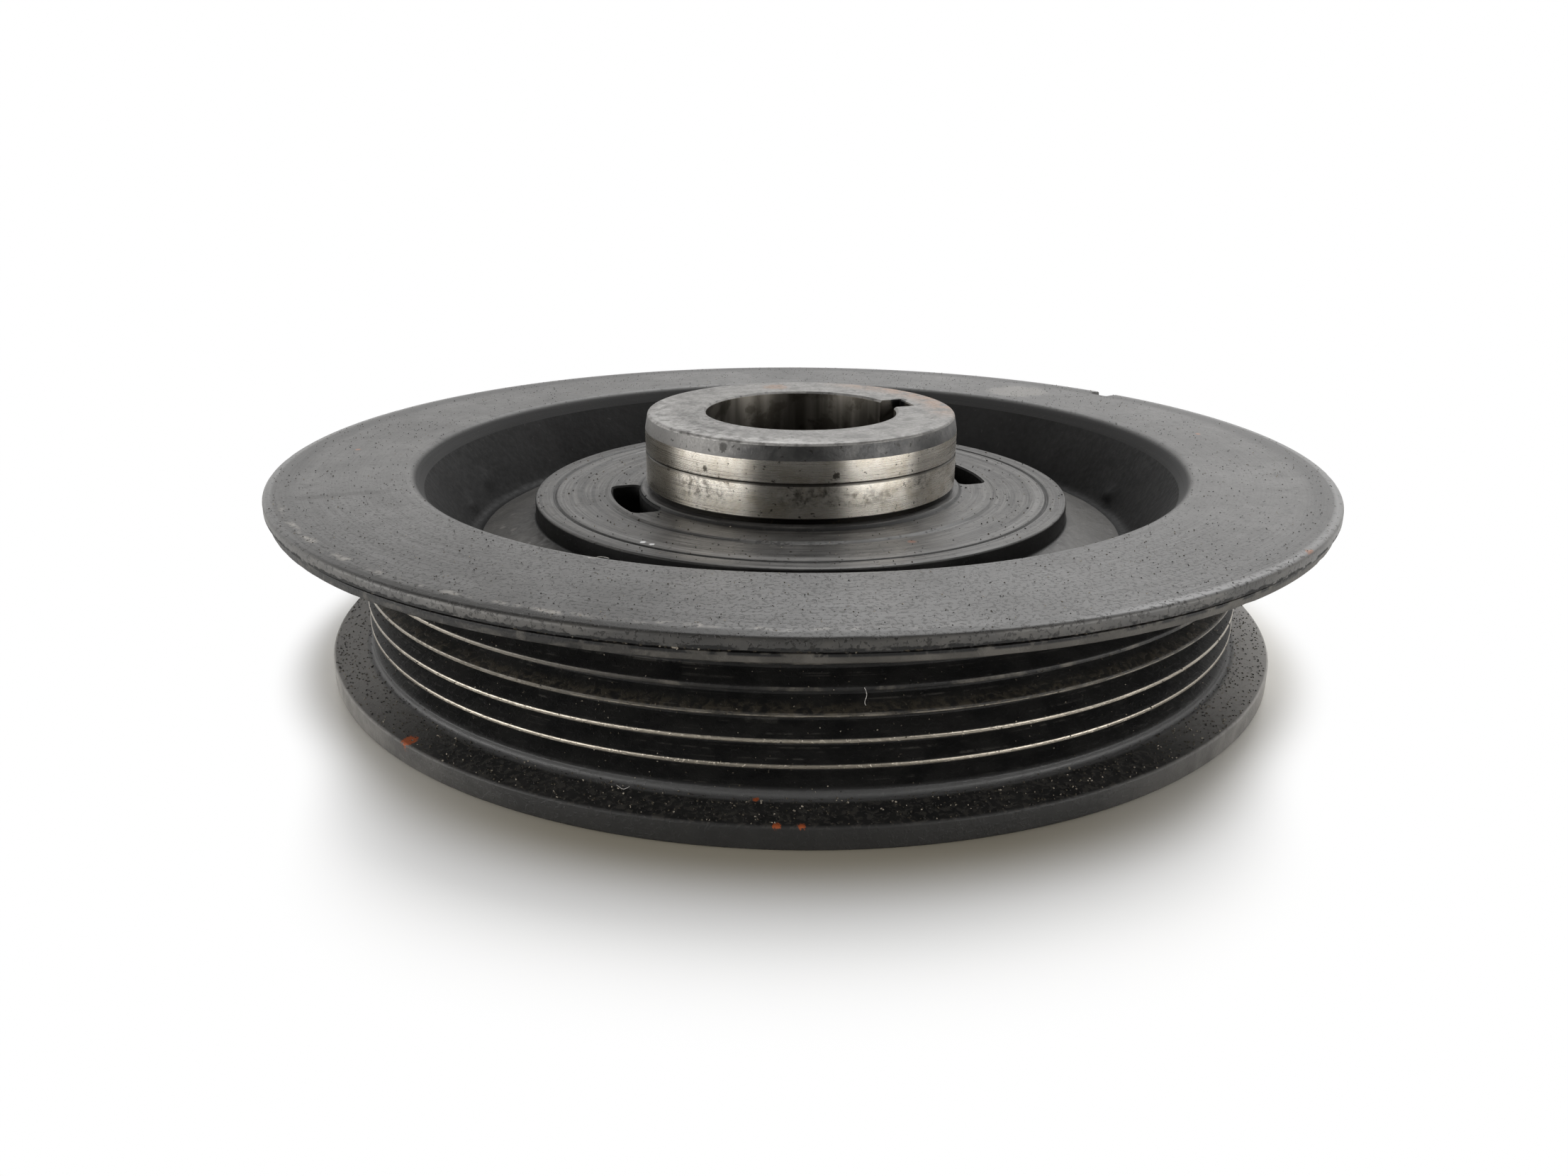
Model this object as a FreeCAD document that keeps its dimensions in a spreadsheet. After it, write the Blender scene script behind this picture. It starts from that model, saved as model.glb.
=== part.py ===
import FreeCAD, Part
import math
import os

import Sketcher

# Crankshaft pulley with a rubber torsional damper, in millimetres.
# It stands on its front flange, with the engine side up, and the crankshaft axis is Z.
# X runs through the middle of the keyway. Heights are counted from the front face of the belt ring.

SIZES = {
    # Belt ring: a plain front flange, six belt grooves and a thin back flange.
    "crest_diameter": 148.8,
    "groove_pitch": 3.56,
    "groove_count": 6,
    "groove_depth": 3.2,
    "groove_angle": 40.0,
    "groove_root_width": 0.66,
    "ring_wall": 3.4,
    "ring_bore_chamfer": 1.2,
    "ring_edge_chamfer": 0.4,
    "front_land": 0.76,
    "front_flange_reach": 6.3,
    "front_flange_edge": 3.4,
    "front_flange_rise": 0.5,
    "back_land": 0.3,
    "back_flange_reach": 13.0,
    "back_flange_edge": 1.25,
    "back_flange_rise": 1.53,
    # Rubber between the hub and the belt ring.
    "rubber_wall": 2.6,
    "rubber_layer": 0.45,
    "rubber_inset": 0.3,
    "rubber_recess": 2.6,
    # Hub: the flange that closes the back of the damper.
    "hub_flange_reach": 0.6,
    "hub_flange_edge": 1.65,
    "hub_flange_bevel_height": 0.1,
    "hub_flange_bevel_width": 2.6,
    "hub_flange_fall": 1.15,
    # Hub: the dish between the flange and the centre.
    "dish_mouth_overhang": 0.3,
    "dish_wall_angle": 31.8,
    "dish_depth": 13.3,
    "dish_lip_radius": 1.5,
    "dish_floor_radius": 1.8,
    "dish_floor_width": 11.0,
    # Hub: the turned disc around the sleeve.
    "disc_height": 3.3,
    "disc_below_face": 6.4,
    "ring_groove_inset": 3.3,
    "ring_groove_width": 0.7,
    "ring_groove_depth": 0.35,
    "inner_face_margin": 0.8,
    "inner_face_rise": 0.2,
    "turned_edge_chamfer": 0.3,
    # Hub: the ground sleeve that the oil seal runs on.
    "seal_diameter": 54.0,
    "sleeve_length": 13.7,
    "lead_taper": 0.5,
    "lead_length": 2.7,
    "wear_track_height": 7.2,
    "wear_track_width": 0.5,
    "wear_track_depth": 0.12,
    "undercut_height": 1.7,
    "undercut_depth": 0.7,
    "collar_step": 0.8,
    "collar_height": 0.7,
    # Hub: the bore, its keyway and the pair of slots beside the sleeve.
    "bore_diameter": 33.0,
    "bore_chamfer": 0.4,
    "keyway_width": 6.0,
    "keyway_depth": 3.6,
    "slot_to_collar": 0.6,
    "slot_depth": 4.6,
    "slot_width": 17.6,
    "slot_rounding_share": 0.3,
    "slot_count": 2,
    # Hub: the timing notch in the flange edge.
    "notch_width": 4.8,
    "notch_depth": 4.0,
    "notch_rounding_share": 0.3,
    "notch_angle": 20.8,
    # Hub: the front side, which faces down.
    "boss_to_slot": 0.6,
    "boss_recess": 6.0,
    "web_thickness": 7.0,
    "web_slope": 1.5,
    "hub_rim_wall": 5.5,
    "hub_end_chamfer": 0.8,
    "casting_radius": 2.0,
}


class Size:
    """A length that knows its value and the sheet expression that gives it."""

    def __init__(self, value, text):
        self.value = value
        self.text = text

    def joined(self, other, sign, value):
        text = other.text if isinstance(other, Size) else repr(float(other))
        return Size(value, f"({self.text} {sign} {text})")

    def __add__(self, other):
        return self.joined(other, "+", self.value + number(other))

    def __sub__(self, other):
        return self.joined(other, "-", self.value - number(other))

    def __mul__(self, other):
        return self.joined(other, "*", self.value * number(other))

    def __truediv__(self, other):
        return self.joined(other, "/", self.value / number(other))


def number(size):
    return size.value if isinstance(size, Size) else float(size)


def slope(angle, share=1.0):
    """The tangent of an angle, or of a share of it, as a size."""
    return Size(math.tan(math.radians(angle.value * share)), f"tan({angle.text} * {share} * 1 deg)")


def make_sheet(doc):
    """Writes every driving dimension to the sheet, with its alias, and returns them as sizes."""
    sheet = doc.addObject("Spreadsheet::Sheet", "dims")
    sizes = {}
    for row, (alias, value) in enumerate(SIZES.items(), start=1):
        sheet.set(f"A{row}", alias.replace("_", " "))
        sheet.set(f"B{row}", str(value))
        sheet.setAlias(f"B{row}", alias)
        sizes[alias] = Size(float(value), f"dims.{alias}")
    doc.recompute()
    return sizes


def origin_plane(body, role):
    return next(part for part in body.Origin.OriginFeatures if part.Role == role)


def new_sketch(body, name, role, height=None):
    """Makes a sketch on one of the body's own origin planes, raised to a height."""
    sketch = body.newObject("Sketcher::SketchObject", name)
    sketch.AttachmentSupport = (origin_plane(body, role), [""])
    sketch.MapMode = "FlatFace"
    if height is not None:
        sketch.setExpression("AttachmentOffset.Base.z", height.text)
    return sketch


def fix_point(sketch, curve, end, x, y):
    """Ties one end of a curve to its place, across and up from the sketch's origin."""
    for kind, axis, size in (("DistanceX", -2, x), ("DistanceY", -1, y)):
        if abs(number(size)) < 1e-9:
            sketch.addConstraint(Sketcher.Constraint("PointOnObject", curve, end, axis))
        else:
            index = sketch.addConstraint(Sketcher.Constraint(kind, -1, 1, curve, end, number(size)))
            sketch.setExpression(f"Constraints[{index}]", size.text)


def round_corner(before, corner, after, radius):
    """Where a rounding of a corner starts and ends, and the middle of its arc."""
    back = (before - corner).normalize()
    on = (after - corner).normalize()
    half_angle = back.getAngle(on) / 2
    middle = corner + (back + on).normalize() * (radius / math.sin(half_angle))
    reach = radius / math.tan(half_angle)
    return corner + back * reach, corner + on * reach, middle


def closed_outline(sketch, corners):
    """Draws a closed chain of lines through corners, each two sizes and, where it is rounded, a radius."""
    points = [FreeCAD.Vector(number(corner[0]), number(corner[1]), 0) for corner in corners]
    count = len(points)
    starts, ends, roundings = list(points), list(points), []
    for i, corner in enumerate(corners):
        if len(corner) == 3:
            radius = corner[2]
            ends[i], starts[i], middle = round_corner(
                points[i - 1], points[i], points[(i + 1) % count], number(radius)
            )
            roundings.append((i, radius, middle))
    lines = [Part.LineSegment(starts[i], ends[(i + 1) % count]) for i in range(count)]
    sketch.addGeometry(lines, False)
    rounded = {i for i, _, _ in roundings}
    for i, radius, middle in roundings:
        draw_rounding(sketch, (i - 1) % count, i, (ends[i], starts[i], middle), radius)
        mark = sketch.addGeometry(Part.Point(points[i]), True)
        sketch.addConstraint(Sketcher.Constraint("PointOnObject", mark, 1, (i - 1) % count))
        sketch.addConstraint(Sketcher.Constraint("PointOnObject", mark, 1, i))
        fix_point(sketch, mark, 1, corners[i][0], corners[i][1])
    for i in sorted(set(range(count)) - rounded):
        sketch.addConstraint(Sketcher.Constraint("Coincident", (i - 1) % count, 2, i, 1))
        fix_point(sketch, i, 1, corners[i][0], corners[i][1])


def draw_rounding(sketch, line_in, line_out, place, radius):
    """Joins two lines of a sketch by an arc that is tangent to both."""
    start, end, middle = place
    turns_left = (start - middle).cross(end - middle).z > 0
    first, last = (start, end) if turns_left else (end, start)
    circle = Part.Circle(middle, FreeCAD.Vector(0, 0, 1), number(radius))
    angles = [math.atan2(point.y - middle.y, point.x - middle.x) for point in (first, last)]
    arc = sketch.addGeometry(Part.ArcOfCircle(circle, angles[0], angles[1]), False)
    end_in, end_out = (1, 2) if turns_left else (2, 1)
    sketch.addConstraint(Sketcher.Constraint("Tangent", line_in, 2, arc, end_in))
    sketch.addConstraint(Sketcher.Constraint("Tangent", line_out, 1, arc, end_out))
    index = sketch.addConstraint(Sketcher.Constraint("Radius", arc, number(radius)))
    sketch.setExpression(f"Constraints[{index}]", radius.text)


def revolve(body, name, corners):
    """Turns an outline in the XZ plane once round the crankshaft axis."""
    sketch = new_sketch(body, f"{name}_outline", "XZ_Plane")
    closed_outline(sketch, corners)
    turned = body.newObject("PartDesign::Revolution", name)
    turned.Profile = sketch
    turned.ReferenceAxis = (sketch, ["V_Axis"])
    turned.Angle = 360
    return turned


def ring_edges(shape, radius, height):
    """Names the circular edges of a shape that lie at one radius and height."""
    found = []
    for index, edge in enumerate(shape.Edges, start=1):
        box = edge.BoundBox
        middle = edge.valueAt((edge.FirstParameter + edge.LastParameter) / 2)
        at_radius = abs(math.hypot(middle.x, middle.y) - number(radius)) < 0.01
        if at_radius and abs(box.ZMin - number(height)) < 0.01 and abs(box.ZMax - number(height)) < 0.01:
            found.append(f"Edge{index}")
    return found


def dress(body, kind, name, size, edges):
    """Rounds or chamfers the named edges of the body's last feature."""
    base = body.Tip
    dressing = body.newObject(f"PartDesign::{kind}", name)
    dressing.Base = (base, edges)
    dressing.setExpression({"Fillet": "Radius", "Chamfer": "Size"}[kind], size.text)


def dress_rings(body, kind, name, size, places):
    """Rounds or chamfers the circular edges at each radius and height."""
    body.Document.recompute()
    edges = [edge for radius, height in places for edge in ring_edges(body.Tip.Shape, radius, height)]
    dress(body, kind, name, size, edges)


def round_uprights(body, name, size, corners):
    """Rounds the edges that stand upright at each of the given plan positions."""
    body.Document.recompute()
    edges = []
    for index, edge in enumerate(body.Tip.Shape.Edges, start=1):
        box = edge.BoundBox
        upright = box.XLength < 0.01 and box.YLength < 0.01 and box.ZLength > 0.1
        if upright and any(math.hypot(box.XMin - x, box.YMin - y) < 0.05 for x, y in corners):
            edges.append(f"Edge{index}")
    dress(body, "Fillet", name, size, edges)


def pocket(body, name, sketch, depth=None):
    """Cuts a sketch down into the body, to a depth or right through."""
    cut = body.newObject("PartDesign::Pocket", name)
    cut.Profile = sketch
    if depth is None:
        cut.Type = "ThroughAll"
    else:
        cut.Type = "Length"
        cut.setExpression("Length", depth.text)
    return cut


def heights(d):
    """Works out the levels that the pieces share, from the front face upwards."""
    z = {}
    z["first_groove"] = d["front_flange_edge"] + d["front_flange_rise"] + d["front_land"]
    z["last_groove"] = z["first_groove"] + d["groove_pitch"] * d["groove_count"]
    z["back_flange_foot"] = z["last_groove"] + d["back_land"]
    z["back_flange_under"] = z["back_flange_foot"] + d["back_flange_rise"]
    z["back_flange_top"] = z["back_flange_under"] + d["back_flange_edge"]
    z["hub_flange_under"] = z["back_flange_top"] + d["rubber_layer"]
    z["bevel"] = z["hub_flange_under"] + d["hub_flange_edge"]
    z["face"] = z["bevel"] + d["hub_flange_bevel_height"]
    z["disc"] = z["face"] - d["disc_below_face"]
    z["web_top"] = z["disc"] - d["disc_height"]
    z["dish_floor"] = z["face"] - d["dish_depth"]
    z["inner_face"] = z["disc"] + d["inner_face_rise"]
    z["collar"] = z["disc"] + d["collar_height"]
    z["ground_foot"] = z["disc"] + d["undercut_height"]
    z["wear_track"] = z["disc"] + d["wear_track_height"]
    z["sleeve"] = z["disc"] + d["sleeve_length"]
    z["lead"] = z["sleeve"] - d["lead_length"]
    z["web_under_rim"] = z["dish_floor"] - d["web_thickness"]
    z["web_under_boss"] = z["web_under_rim"] + d["web_slope"]
    return z


def radii(d):
    """Works out the radii that the pieces share: the outer ones from the belt, the inner ones from the seal."""
    r = {}
    r["crest"] = d["crest_diameter"] / 2
    r["front_flange"] = r["crest"] + d["front_flange_reach"]
    r["back_flange"] = r["crest"] + d["back_flange_reach"]
    r["hub_flange"] = r["back_flange"] + d["hub_flange_reach"]
    r["face"] = r["hub_flange"] - d["hub_flange_bevel_width"]
    r["ring_bore"] = r["crest"] - d["groove_depth"] - d["ring_wall"]
    r["hub_rim"] = r["ring_bore"] - d["rubber_wall"]
    r["hub_rim_inner"] = r["hub_rim"] - d["hub_rim_wall"]
    r["dish_mouth"] = r["hub_rim"] + d["dish_mouth_overhang"]
    r["dish_floor"] = r["dish_mouth"] - d["dish_depth"] * slope(d["dish_wall_angle"])
    r["disc"] = r["dish_floor"] - d["dish_floor_width"]
    r["ring_groove"] = r["disc"] - d["ring_groove_inset"]
    r["seal"] = d["seal_diameter"] / 2
    r["lead"] = r["seal"] - d["lead_taper"]
    r["wear_track"] = r["seal"] - d["wear_track_depth"]
    r["undercut"] = r["seal"] - d["undercut_depth"]
    r["collar"] = r["seal"] + d["collar_step"]
    r["slot_inner"] = r["collar"] + d["slot_to_collar"]
    r["slot_outer"] = r["slot_inner"] + d["slot_depth"]
    r["inner_face"] = r["slot_outer"] + d["inner_face_margin"]
    r["boss"] = r["slot_inner"] - d["casting_radius"] - d["boss_to_slot"]
    r["bore"] = d["bore_diameter"] / 2
    r["keyway_floor"] = r["bore"] + d["keyway_depth"]
    return r


def flange_fall(d, r, radius):
    """How far the underside of the hub flange has dropped at a radius, counted from its edge."""
    return d["hub_flange_fall"] * ((r["hub_flange"] - radius) / (r["hub_flange"] - r["hub_rim"]))


def build_hub(doc, d, r, z):
    """The cast hub: sleeve, disc, web, dish and back flange in one piece."""
    body = doc.addObject("PartDesign::Body", "hub")
    body.Label = "hub"
    bore_mouth = r["bore"] + d["bore_chamfer"]
    groove_out = r["ring_groove"] + d["ring_groove_width"] / 2
    groove_in = r["ring_groove"] - d["ring_groove_width"] / 2
    groove_floor = z["disc"] - d["ring_groove_depth"]
    track_top = z["wear_track"] + d["wear_track_width"] / 2
    track_foot = z["wear_track"] - d["wear_track_width"] / 2
    revolve(body, "hub_turned", [
        (bore_mouth, d["boss_recess"]),
        (r["boss"], d["boss_recess"]),
        (r["boss"], z["web_under_boss"], d["casting_radius"]),
        (r["hub_rim_inner"], z["web_under_rim"], d["casting_radius"]),
        (r["hub_rim_inner"], d["rubber_recess"]),
        (r["hub_rim"], d["rubber_recess"]),
        (r["hub_rim"], z["hub_flange_under"] - flange_fall(d, r, r["hub_rim"])),
        (r["hub_flange"], z["hub_flange_under"]),
        (r["hub_flange"], z["bevel"]),
        (r["face"], z["face"]),
        (r["dish_mouth"], z["face"], d["dish_lip_radius"]),
        (r["dish_floor"], z["dish_floor"], d["dish_floor_radius"]),
        (r["disc"], z["web_top"]),
        (r["disc"], z["disc"]),
        (groove_out, z["disc"]),
        (r["ring_groove"], groove_floor),
        (groove_in, z["disc"]),
        (r["inner_face"] + d["inner_face_rise"], z["disc"]),
        (r["inner_face"], z["inner_face"]),
        (r["collar"], z["inner_face"]),
        (r["collar"], z["collar"]),
        (r["undercut"], z["collar"]),
        (r["undercut"], z["ground_foot"] - d["undercut_depth"] / 2),
        (r["seal"], z["ground_foot"]),
        (r["seal"], track_foot),
        (r["wear_track"], z["wear_track"]),
        (r["seal"], track_top),
        (r["seal"], z["lead"]),
        (r["lead"], z["sleeve"]),
        (bore_mouth, z["sleeve"]),
        (r["bore"], z["sleeve"] - d["bore_chamfer"]),
        (r["bore"], d["boss_recess"] + d["bore_chamfer"]),
    ])
    dress_rings(body, "Chamfer", "turned_edges", d["turned_edge_chamfer"], [
        (r["disc"], z["disc"]),
        (r["collar"], z["collar"]),
        (r["lead"], z["sleeve"]),
        (r["hub_flange"], z["bevel"]),
    ])
    dress_rings(body, "Chamfer", "hub_ends", d["hub_end_chamfer"], [
        (r["boss"], d["boss_recess"]),
        (r["hub_rim_inner"], d["rubber_recess"]),
    ])
    cut_slots(body, d, r, z)
    cut_keyway(body, d, r, z)
    cut_notch(body, d, r, z)
    return body


def slot_corners(d, r):
    """Plan positions of the corners of the slot that lies on the X axis."""
    half = number(d["slot_width"]) / 2
    arcs = (number(r["slot_inner"]), number(r["slot_outer"]))
    return [(math.sqrt(radius**2 - half**2), side * half) for radius in arcs for side in (-1, 1)]


def cut_slots(body, d, r, z):
    """Two arc-shaped slots beside the sleeve, opposite each other, with parallel ends."""
    sketch = new_sketch(body, "slot_outline", "XY_Plane", z["collar"])
    inner_low, inner_high, outer_low, outer_high = [FreeCAD.Vector(x, y, 0) for x, y in slot_corners(d, r)]
    for radius, low, high in (
        (r["slot_inner"], inner_low, inner_high),
        (r["slot_outer"], outer_low, outer_high),
    ):
        circle = Part.Circle(FreeCAD.Vector(0, 0, 0), FreeCAD.Vector(0, 0, 1), number(radius))
        arc = Part.ArcOfCircle(circle, math.atan2(low.y, low.x), math.atan2(high.y, high.x))
        curve = sketch.addGeometry(arc, False)
        sketch.addConstraint(Sketcher.Constraint("Coincident", curve, 3, -1, 1))
        index = sketch.addConstraint(Sketcher.Constraint("Radius", curve, number(radius)))
        sketch.setExpression(f"Constraints[{index}]", radius.text)
    for low_end, start, stop in ((1, inner_low, outer_low), (2, inner_high, outer_high)):
        line = sketch.addGeometry(Part.LineSegment(start, stop), False)
        sketch.addConstraint(Sketcher.Constraint("Coincident", line, 1, 0, low_end))
        sketch.addConstraint(Sketcher.Constraint("Coincident", line, 2, 1, low_end))
        sketch.addConstraint(Sketcher.Constraint("Horizontal", line))
    half = d["slot_width"] / 2
    for line, offset in ((2, half * -1), (3, half)):
        index = sketch.addConstraint(Sketcher.Constraint("DistanceY", -1, 1, line, 1, number(offset)))
        sketch.setExpression(f"Constraints[{index}]", offset.text)
    first = pocket(body, "slot", sketch)
    body.Document.recompute()
    both = body.newObject("PartDesign::PolarPattern", "slot_pair")
    both.Originals = [first]
    both.Axis = (origin_plane(body, "Z_Axis"), [""])
    both.Angle = 360
    both.Occurrences = int(number(d["slot_count"]))
    body.Tip = both
    turn = 2 * math.pi / int(number(d["slot_count"]))
    corners = []
    for copy in range(int(number(d["slot_count"]))):
        c, s = math.cos(copy * turn), math.sin(copy * turn)
        corners += [(c * x - s * y, s * x + c * y) for x, y in slot_corners(d, r)]
    round_uprights(body, "slot_rounding", d["slot_depth"] * d["slot_rounding_share"], corners)


def cut_keyway(body, d, r, z):
    """A straight keyway along the whole bore, on the X axis."""
    sketch = new_sketch(body, "keyway_outline", "XY_Plane", z["sleeve"])
    half = d["keyway_width"] / 2
    middle = Size(0.0, "0")
    closed_outline(sketch, [
        (middle, half * -1),
        (r["keyway_floor"], half * -1),
        (r["keyway_floor"], half),
        (middle, half),
    ])
    pocket(body, "keyway", sketch)


def cut_notch(body, d, r, z):
    """The timing notch: a square-sided bite out of the flange edge with rounded floor corners."""
    sketch = new_sketch(body, "notch_outline", "XY_Plane", z["face"])
    sketch.setExpression("AttachmentOffset.Rotation.Angle", d["notch_angle"].text)
    half = d["notch_width"] / 2
    floor = r["hub_flange"] - d["notch_depth"]
    beyond = r["hub_flange"] + d["notch_width"]
    closed_outline(sketch, [
        (floor, half * -1),
        (beyond, half * -1),
        (beyond, half),
        (floor, half),
    ])
    depth = z["face"] - z["hub_flange_under"] + flange_fall(d, r, floor - d["notch_width"])
    pocket(body, "notch", sketch, depth)
    angle = math.radians(number(d["notch_angle"]))
    c, s = math.cos(angle), math.sin(angle)
    corners = [(c * number(floor) - s * y, s * number(floor) + c * y) for y in (-number(half), number(half))]
    round_uprights(body, "notch_rounding", d["notch_width"] * d["notch_rounding_share"], corners)


def build_rubber(doc, d, r, z):
    """The rubber moulded between hub and belt ring: a sleeve with a thin skirt under the flange."""
    body = doc.addObject("PartDesign::Body", "rubber_ring")
    body.Label = "rubber_ring"
    skirt = r["back_flange"] - d["rubber_inset"]
    mouth = r["ring_bore"] + d["ring_bore_chamfer"]
    revolve(body, "rubber_moulded", [
        (r["hub_rim"], d["rubber_recess"]),
        (r["ring_bore"], d["rubber_recess"]),
        (r["ring_bore"], ring_top(d, r, z, mouth) - d["ring_bore_chamfer"]),
        (mouth, ring_top(d, r, z, mouth)),
        (skirt, ring_top(d, r, z, skirt)),
        (skirt, ring_top(d, r, z, skirt) + d["rubber_layer"]),
        (r["hub_rim"], z["hub_flange_under"] - flange_fall(d, r, r["hub_rim"])),
    ])
    return body


def ring_top(d, r, z, radius):
    """Height of the belt ring's back face at a radius: it follows the hub flange one layer below."""
    return z["back_flange_top"] - flange_fall(d, r, radius)


def build_belt_ring(doc, d, r, z):
    """The outer ring that carries the belt: two flanges and the row of grooves between them."""
    body = doc.addObject("PartDesign::Body", "belt_ring")
    body.Label = "belt_ring"
    mouth = r["ring_bore"] + d["ring_bore_chamfer"]
    zero = Size(0.0, "0")
    revolve(body, "ring_turned", [
        (mouth, zero),
        (r["front_flange"], zero),
        (r["front_flange"], d["front_flange_edge"]),
        (r["crest"], d["front_flange_edge"] + d["front_flange_rise"]),
        (r["crest"], z["back_flange_foot"]),
        (r["back_flange"], z["back_flange_under"]),
        (r["back_flange"], ring_top(d, r, z, r["back_flange"])),
        (mouth, ring_top(d, r, z, mouth)),
        (r["ring_bore"], ring_top(d, r, z, mouth) - d["ring_bore_chamfer"]),
        (r["ring_bore"], d["ring_bore_chamfer"]),
    ])
    dress_rings(body, "Chamfer", "flange_edges", d["ring_edge_chamfer"], [
        (r["front_flange"], zero),
        (r["front_flange"], d["front_flange_edge"]),
        (r["back_flange"], z["back_flange_under"]),
    ])
    cut_grooves(body, d, r, z)
    return body


def cut_grooves(body, d, r, z):
    """The belt grooves: one tapered groove, repeated up the ring."""
    half_root = d["groove_root_width"] / 2
    half_mouth = half_root + d["groove_depth"] * slope(d["groove_angle"], 0.5)
    middle = z["first_groove"] + d["groove_pitch"] / 2
    root = r["crest"] - d["groove_depth"]
    sketch = new_sketch(body, "groove_outline", "XZ_Plane")
    closed_outline(sketch, [
        (root, middle - half_root),
        (r["crest"], middle - half_mouth),
        (r["front_flange"], middle - half_mouth),
        (r["front_flange"], middle + half_mouth),
        (r["crest"], middle + half_mouth),
        (root, middle + half_root),
    ])
    groove = body.newObject("PartDesign::Groove", "belt_groove")
    groove.Profile = sketch
    groove.ReferenceAxis = (sketch, ["V_Axis"])
    groove.Angle = 360
    body.Document.recompute()
    row = body.newObject("PartDesign::LinearPattern", "belt_grooves")
    row.Originals = [groove]
    row.Direction = (origin_plane(body, "Z_Axis"), [""])
    row.setExpression("Length", (d["groove_pitch"] * (d["groove_count"] - 1)).text)
    row.Occurrences = int(number(d["groove_count"]))
    body.Tip = row


def check_and_export(doc, bodies):
    """Stops if any feature failed, then writes each body to its own file."""
    doc.recompute()
    for item in doc.Objects:
        if "Invalid" in item.State or "Error" in item.State:
            raise RuntimeError(f"{item.Name} failed: {item.State}")
    os.makedirs("parts", exist_ok=True)
    for body in bodies:
        shape = body.Shape
        if shape.isNull() or not shape.isValid() or len(shape.Solids) != 1:
            raise RuntimeError(f"{body.Label} is not one valid solid")
        print(f"{body.Label}: {shape.Volume / 1000:.1f} cm3, {len(shape.Faces)} faces")
        shape.exportStep(f"parts/{body.Label}.step")


def main():
    doc = FreeCAD.newDocument("crankshaft_pulley")
    d = make_sheet(doc)
    r = radii(d)
    z = heights(d)
    bodies = [build_hub(doc, d, r, z), build_rubber(doc, d, r, z), build_belt_ring(doc, d, r, z)]
    check_and_export(doc, bodies)
    return bodies


main()
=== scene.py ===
# %% [markdown]
# # A crankshaft pulley, worn and dusty, standing on its front flange
#
# The real part is an iron casting with a ground sleeve in the middle, and an outer ring with six
# belt grooves that is bonded to it by rubber. Almost every surface is turned on a lathe, so almost
# every piece here is an outline in the half plane (radius, height) that is turned once round Z.
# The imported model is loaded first: it is the frame that every piece has to fit.

# %% Load the frame and keep its box
import math

import bmesh
import bpy
import numpy as np
from mathutils import Matrix, Vector, noise


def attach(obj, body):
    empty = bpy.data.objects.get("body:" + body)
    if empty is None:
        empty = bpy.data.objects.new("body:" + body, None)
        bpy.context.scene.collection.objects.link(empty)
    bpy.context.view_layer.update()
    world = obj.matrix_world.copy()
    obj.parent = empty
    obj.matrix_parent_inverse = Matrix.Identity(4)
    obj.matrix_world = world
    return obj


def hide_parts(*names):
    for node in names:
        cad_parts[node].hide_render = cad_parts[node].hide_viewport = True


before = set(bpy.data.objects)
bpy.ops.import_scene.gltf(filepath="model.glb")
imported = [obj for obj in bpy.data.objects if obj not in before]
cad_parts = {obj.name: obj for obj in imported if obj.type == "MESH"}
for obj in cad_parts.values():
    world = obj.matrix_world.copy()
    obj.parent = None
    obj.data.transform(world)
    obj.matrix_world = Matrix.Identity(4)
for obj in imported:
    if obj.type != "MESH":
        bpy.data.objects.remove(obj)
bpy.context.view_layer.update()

MM = 0.001

# %% [markdown]
# ## The camera
#
# The camera stands low in front of the pulley, 213 mm from its axis, and looks down by about
# 20 degrees. A camera is a position and three directions: to the right, up, and back towards the
# viewer. Written as the columns of a matrix, they give the camera's place with no angles to guess.
# The keyway of the part points along +X, so the whole view is turned about Z to suit it.

# %% Stand the camera in front
VIEW_TURN = math.radians(-19.5)
LENS_MM = 28.4
CAMERA_PLACE = (0.0, -212.91, 81.44)
TO_RIGHT, UPWARDS = (0.9999, 0.0146, 0.0041), (-0.0087, 0.3355, 0.9420)


def turned_view(vector):
    """A place or direction seen from the front, turned into the part's own frame."""
    return Matrix.Rotation(VIEW_TURN, 3, "Z") @ Vector(vector)


def stand_camera():
    camera = bpy.data.objects.new("camera", bpy.data.cameras.new("camera"))
    bpy.context.collection.objects.link(camera)
    right, up = turned_view(TO_RIGHT), turned_view(UPWARDS)
    back = right.cross(up).normalized()
    up = back.cross(right).normalized()
    place = turned_view(CAMERA_PLACE) * MM
    columns = Matrix((right.normalized(), up, back)).transposed()
    camera.matrix_world = Matrix.Translation(place) @ columns.to_4x4()
    camera.data.lens = LENS_MM
    camera.data.sensor_width = 36.0
    camera.data.clip_start = 0.01
    camera.data.clip_end = 20.0
    bpy.context.scene.camera = camera
    return camera


def seen_at(angle, radius, height):
    """A place in mm on the part: 0 degrees faces the camera, -90 lies at the left and 90 at the right."""
    turn = math.radians(angle)
    return turned_view((radius * math.sin(turn), -radius * math.cos(turn), height))


camera = stand_camera()
print("camera at", [round(v / MM, 1) for v in camera.location], "mm, lens", LENS_MM)

# %% [markdown]
# ## Outlines with rounded corners
#
# A turned or cast part has no razor edges. Each outline below is a short list of corners, and each
# corner says how much it is rounded and which finish starts there. One helper puts the arcs in,
# and splits long runs where a cast surface needs points to be uneven with.

# %% A helper that rounds the corners of an outline
ARC_STEP = math.radians(18)


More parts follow.
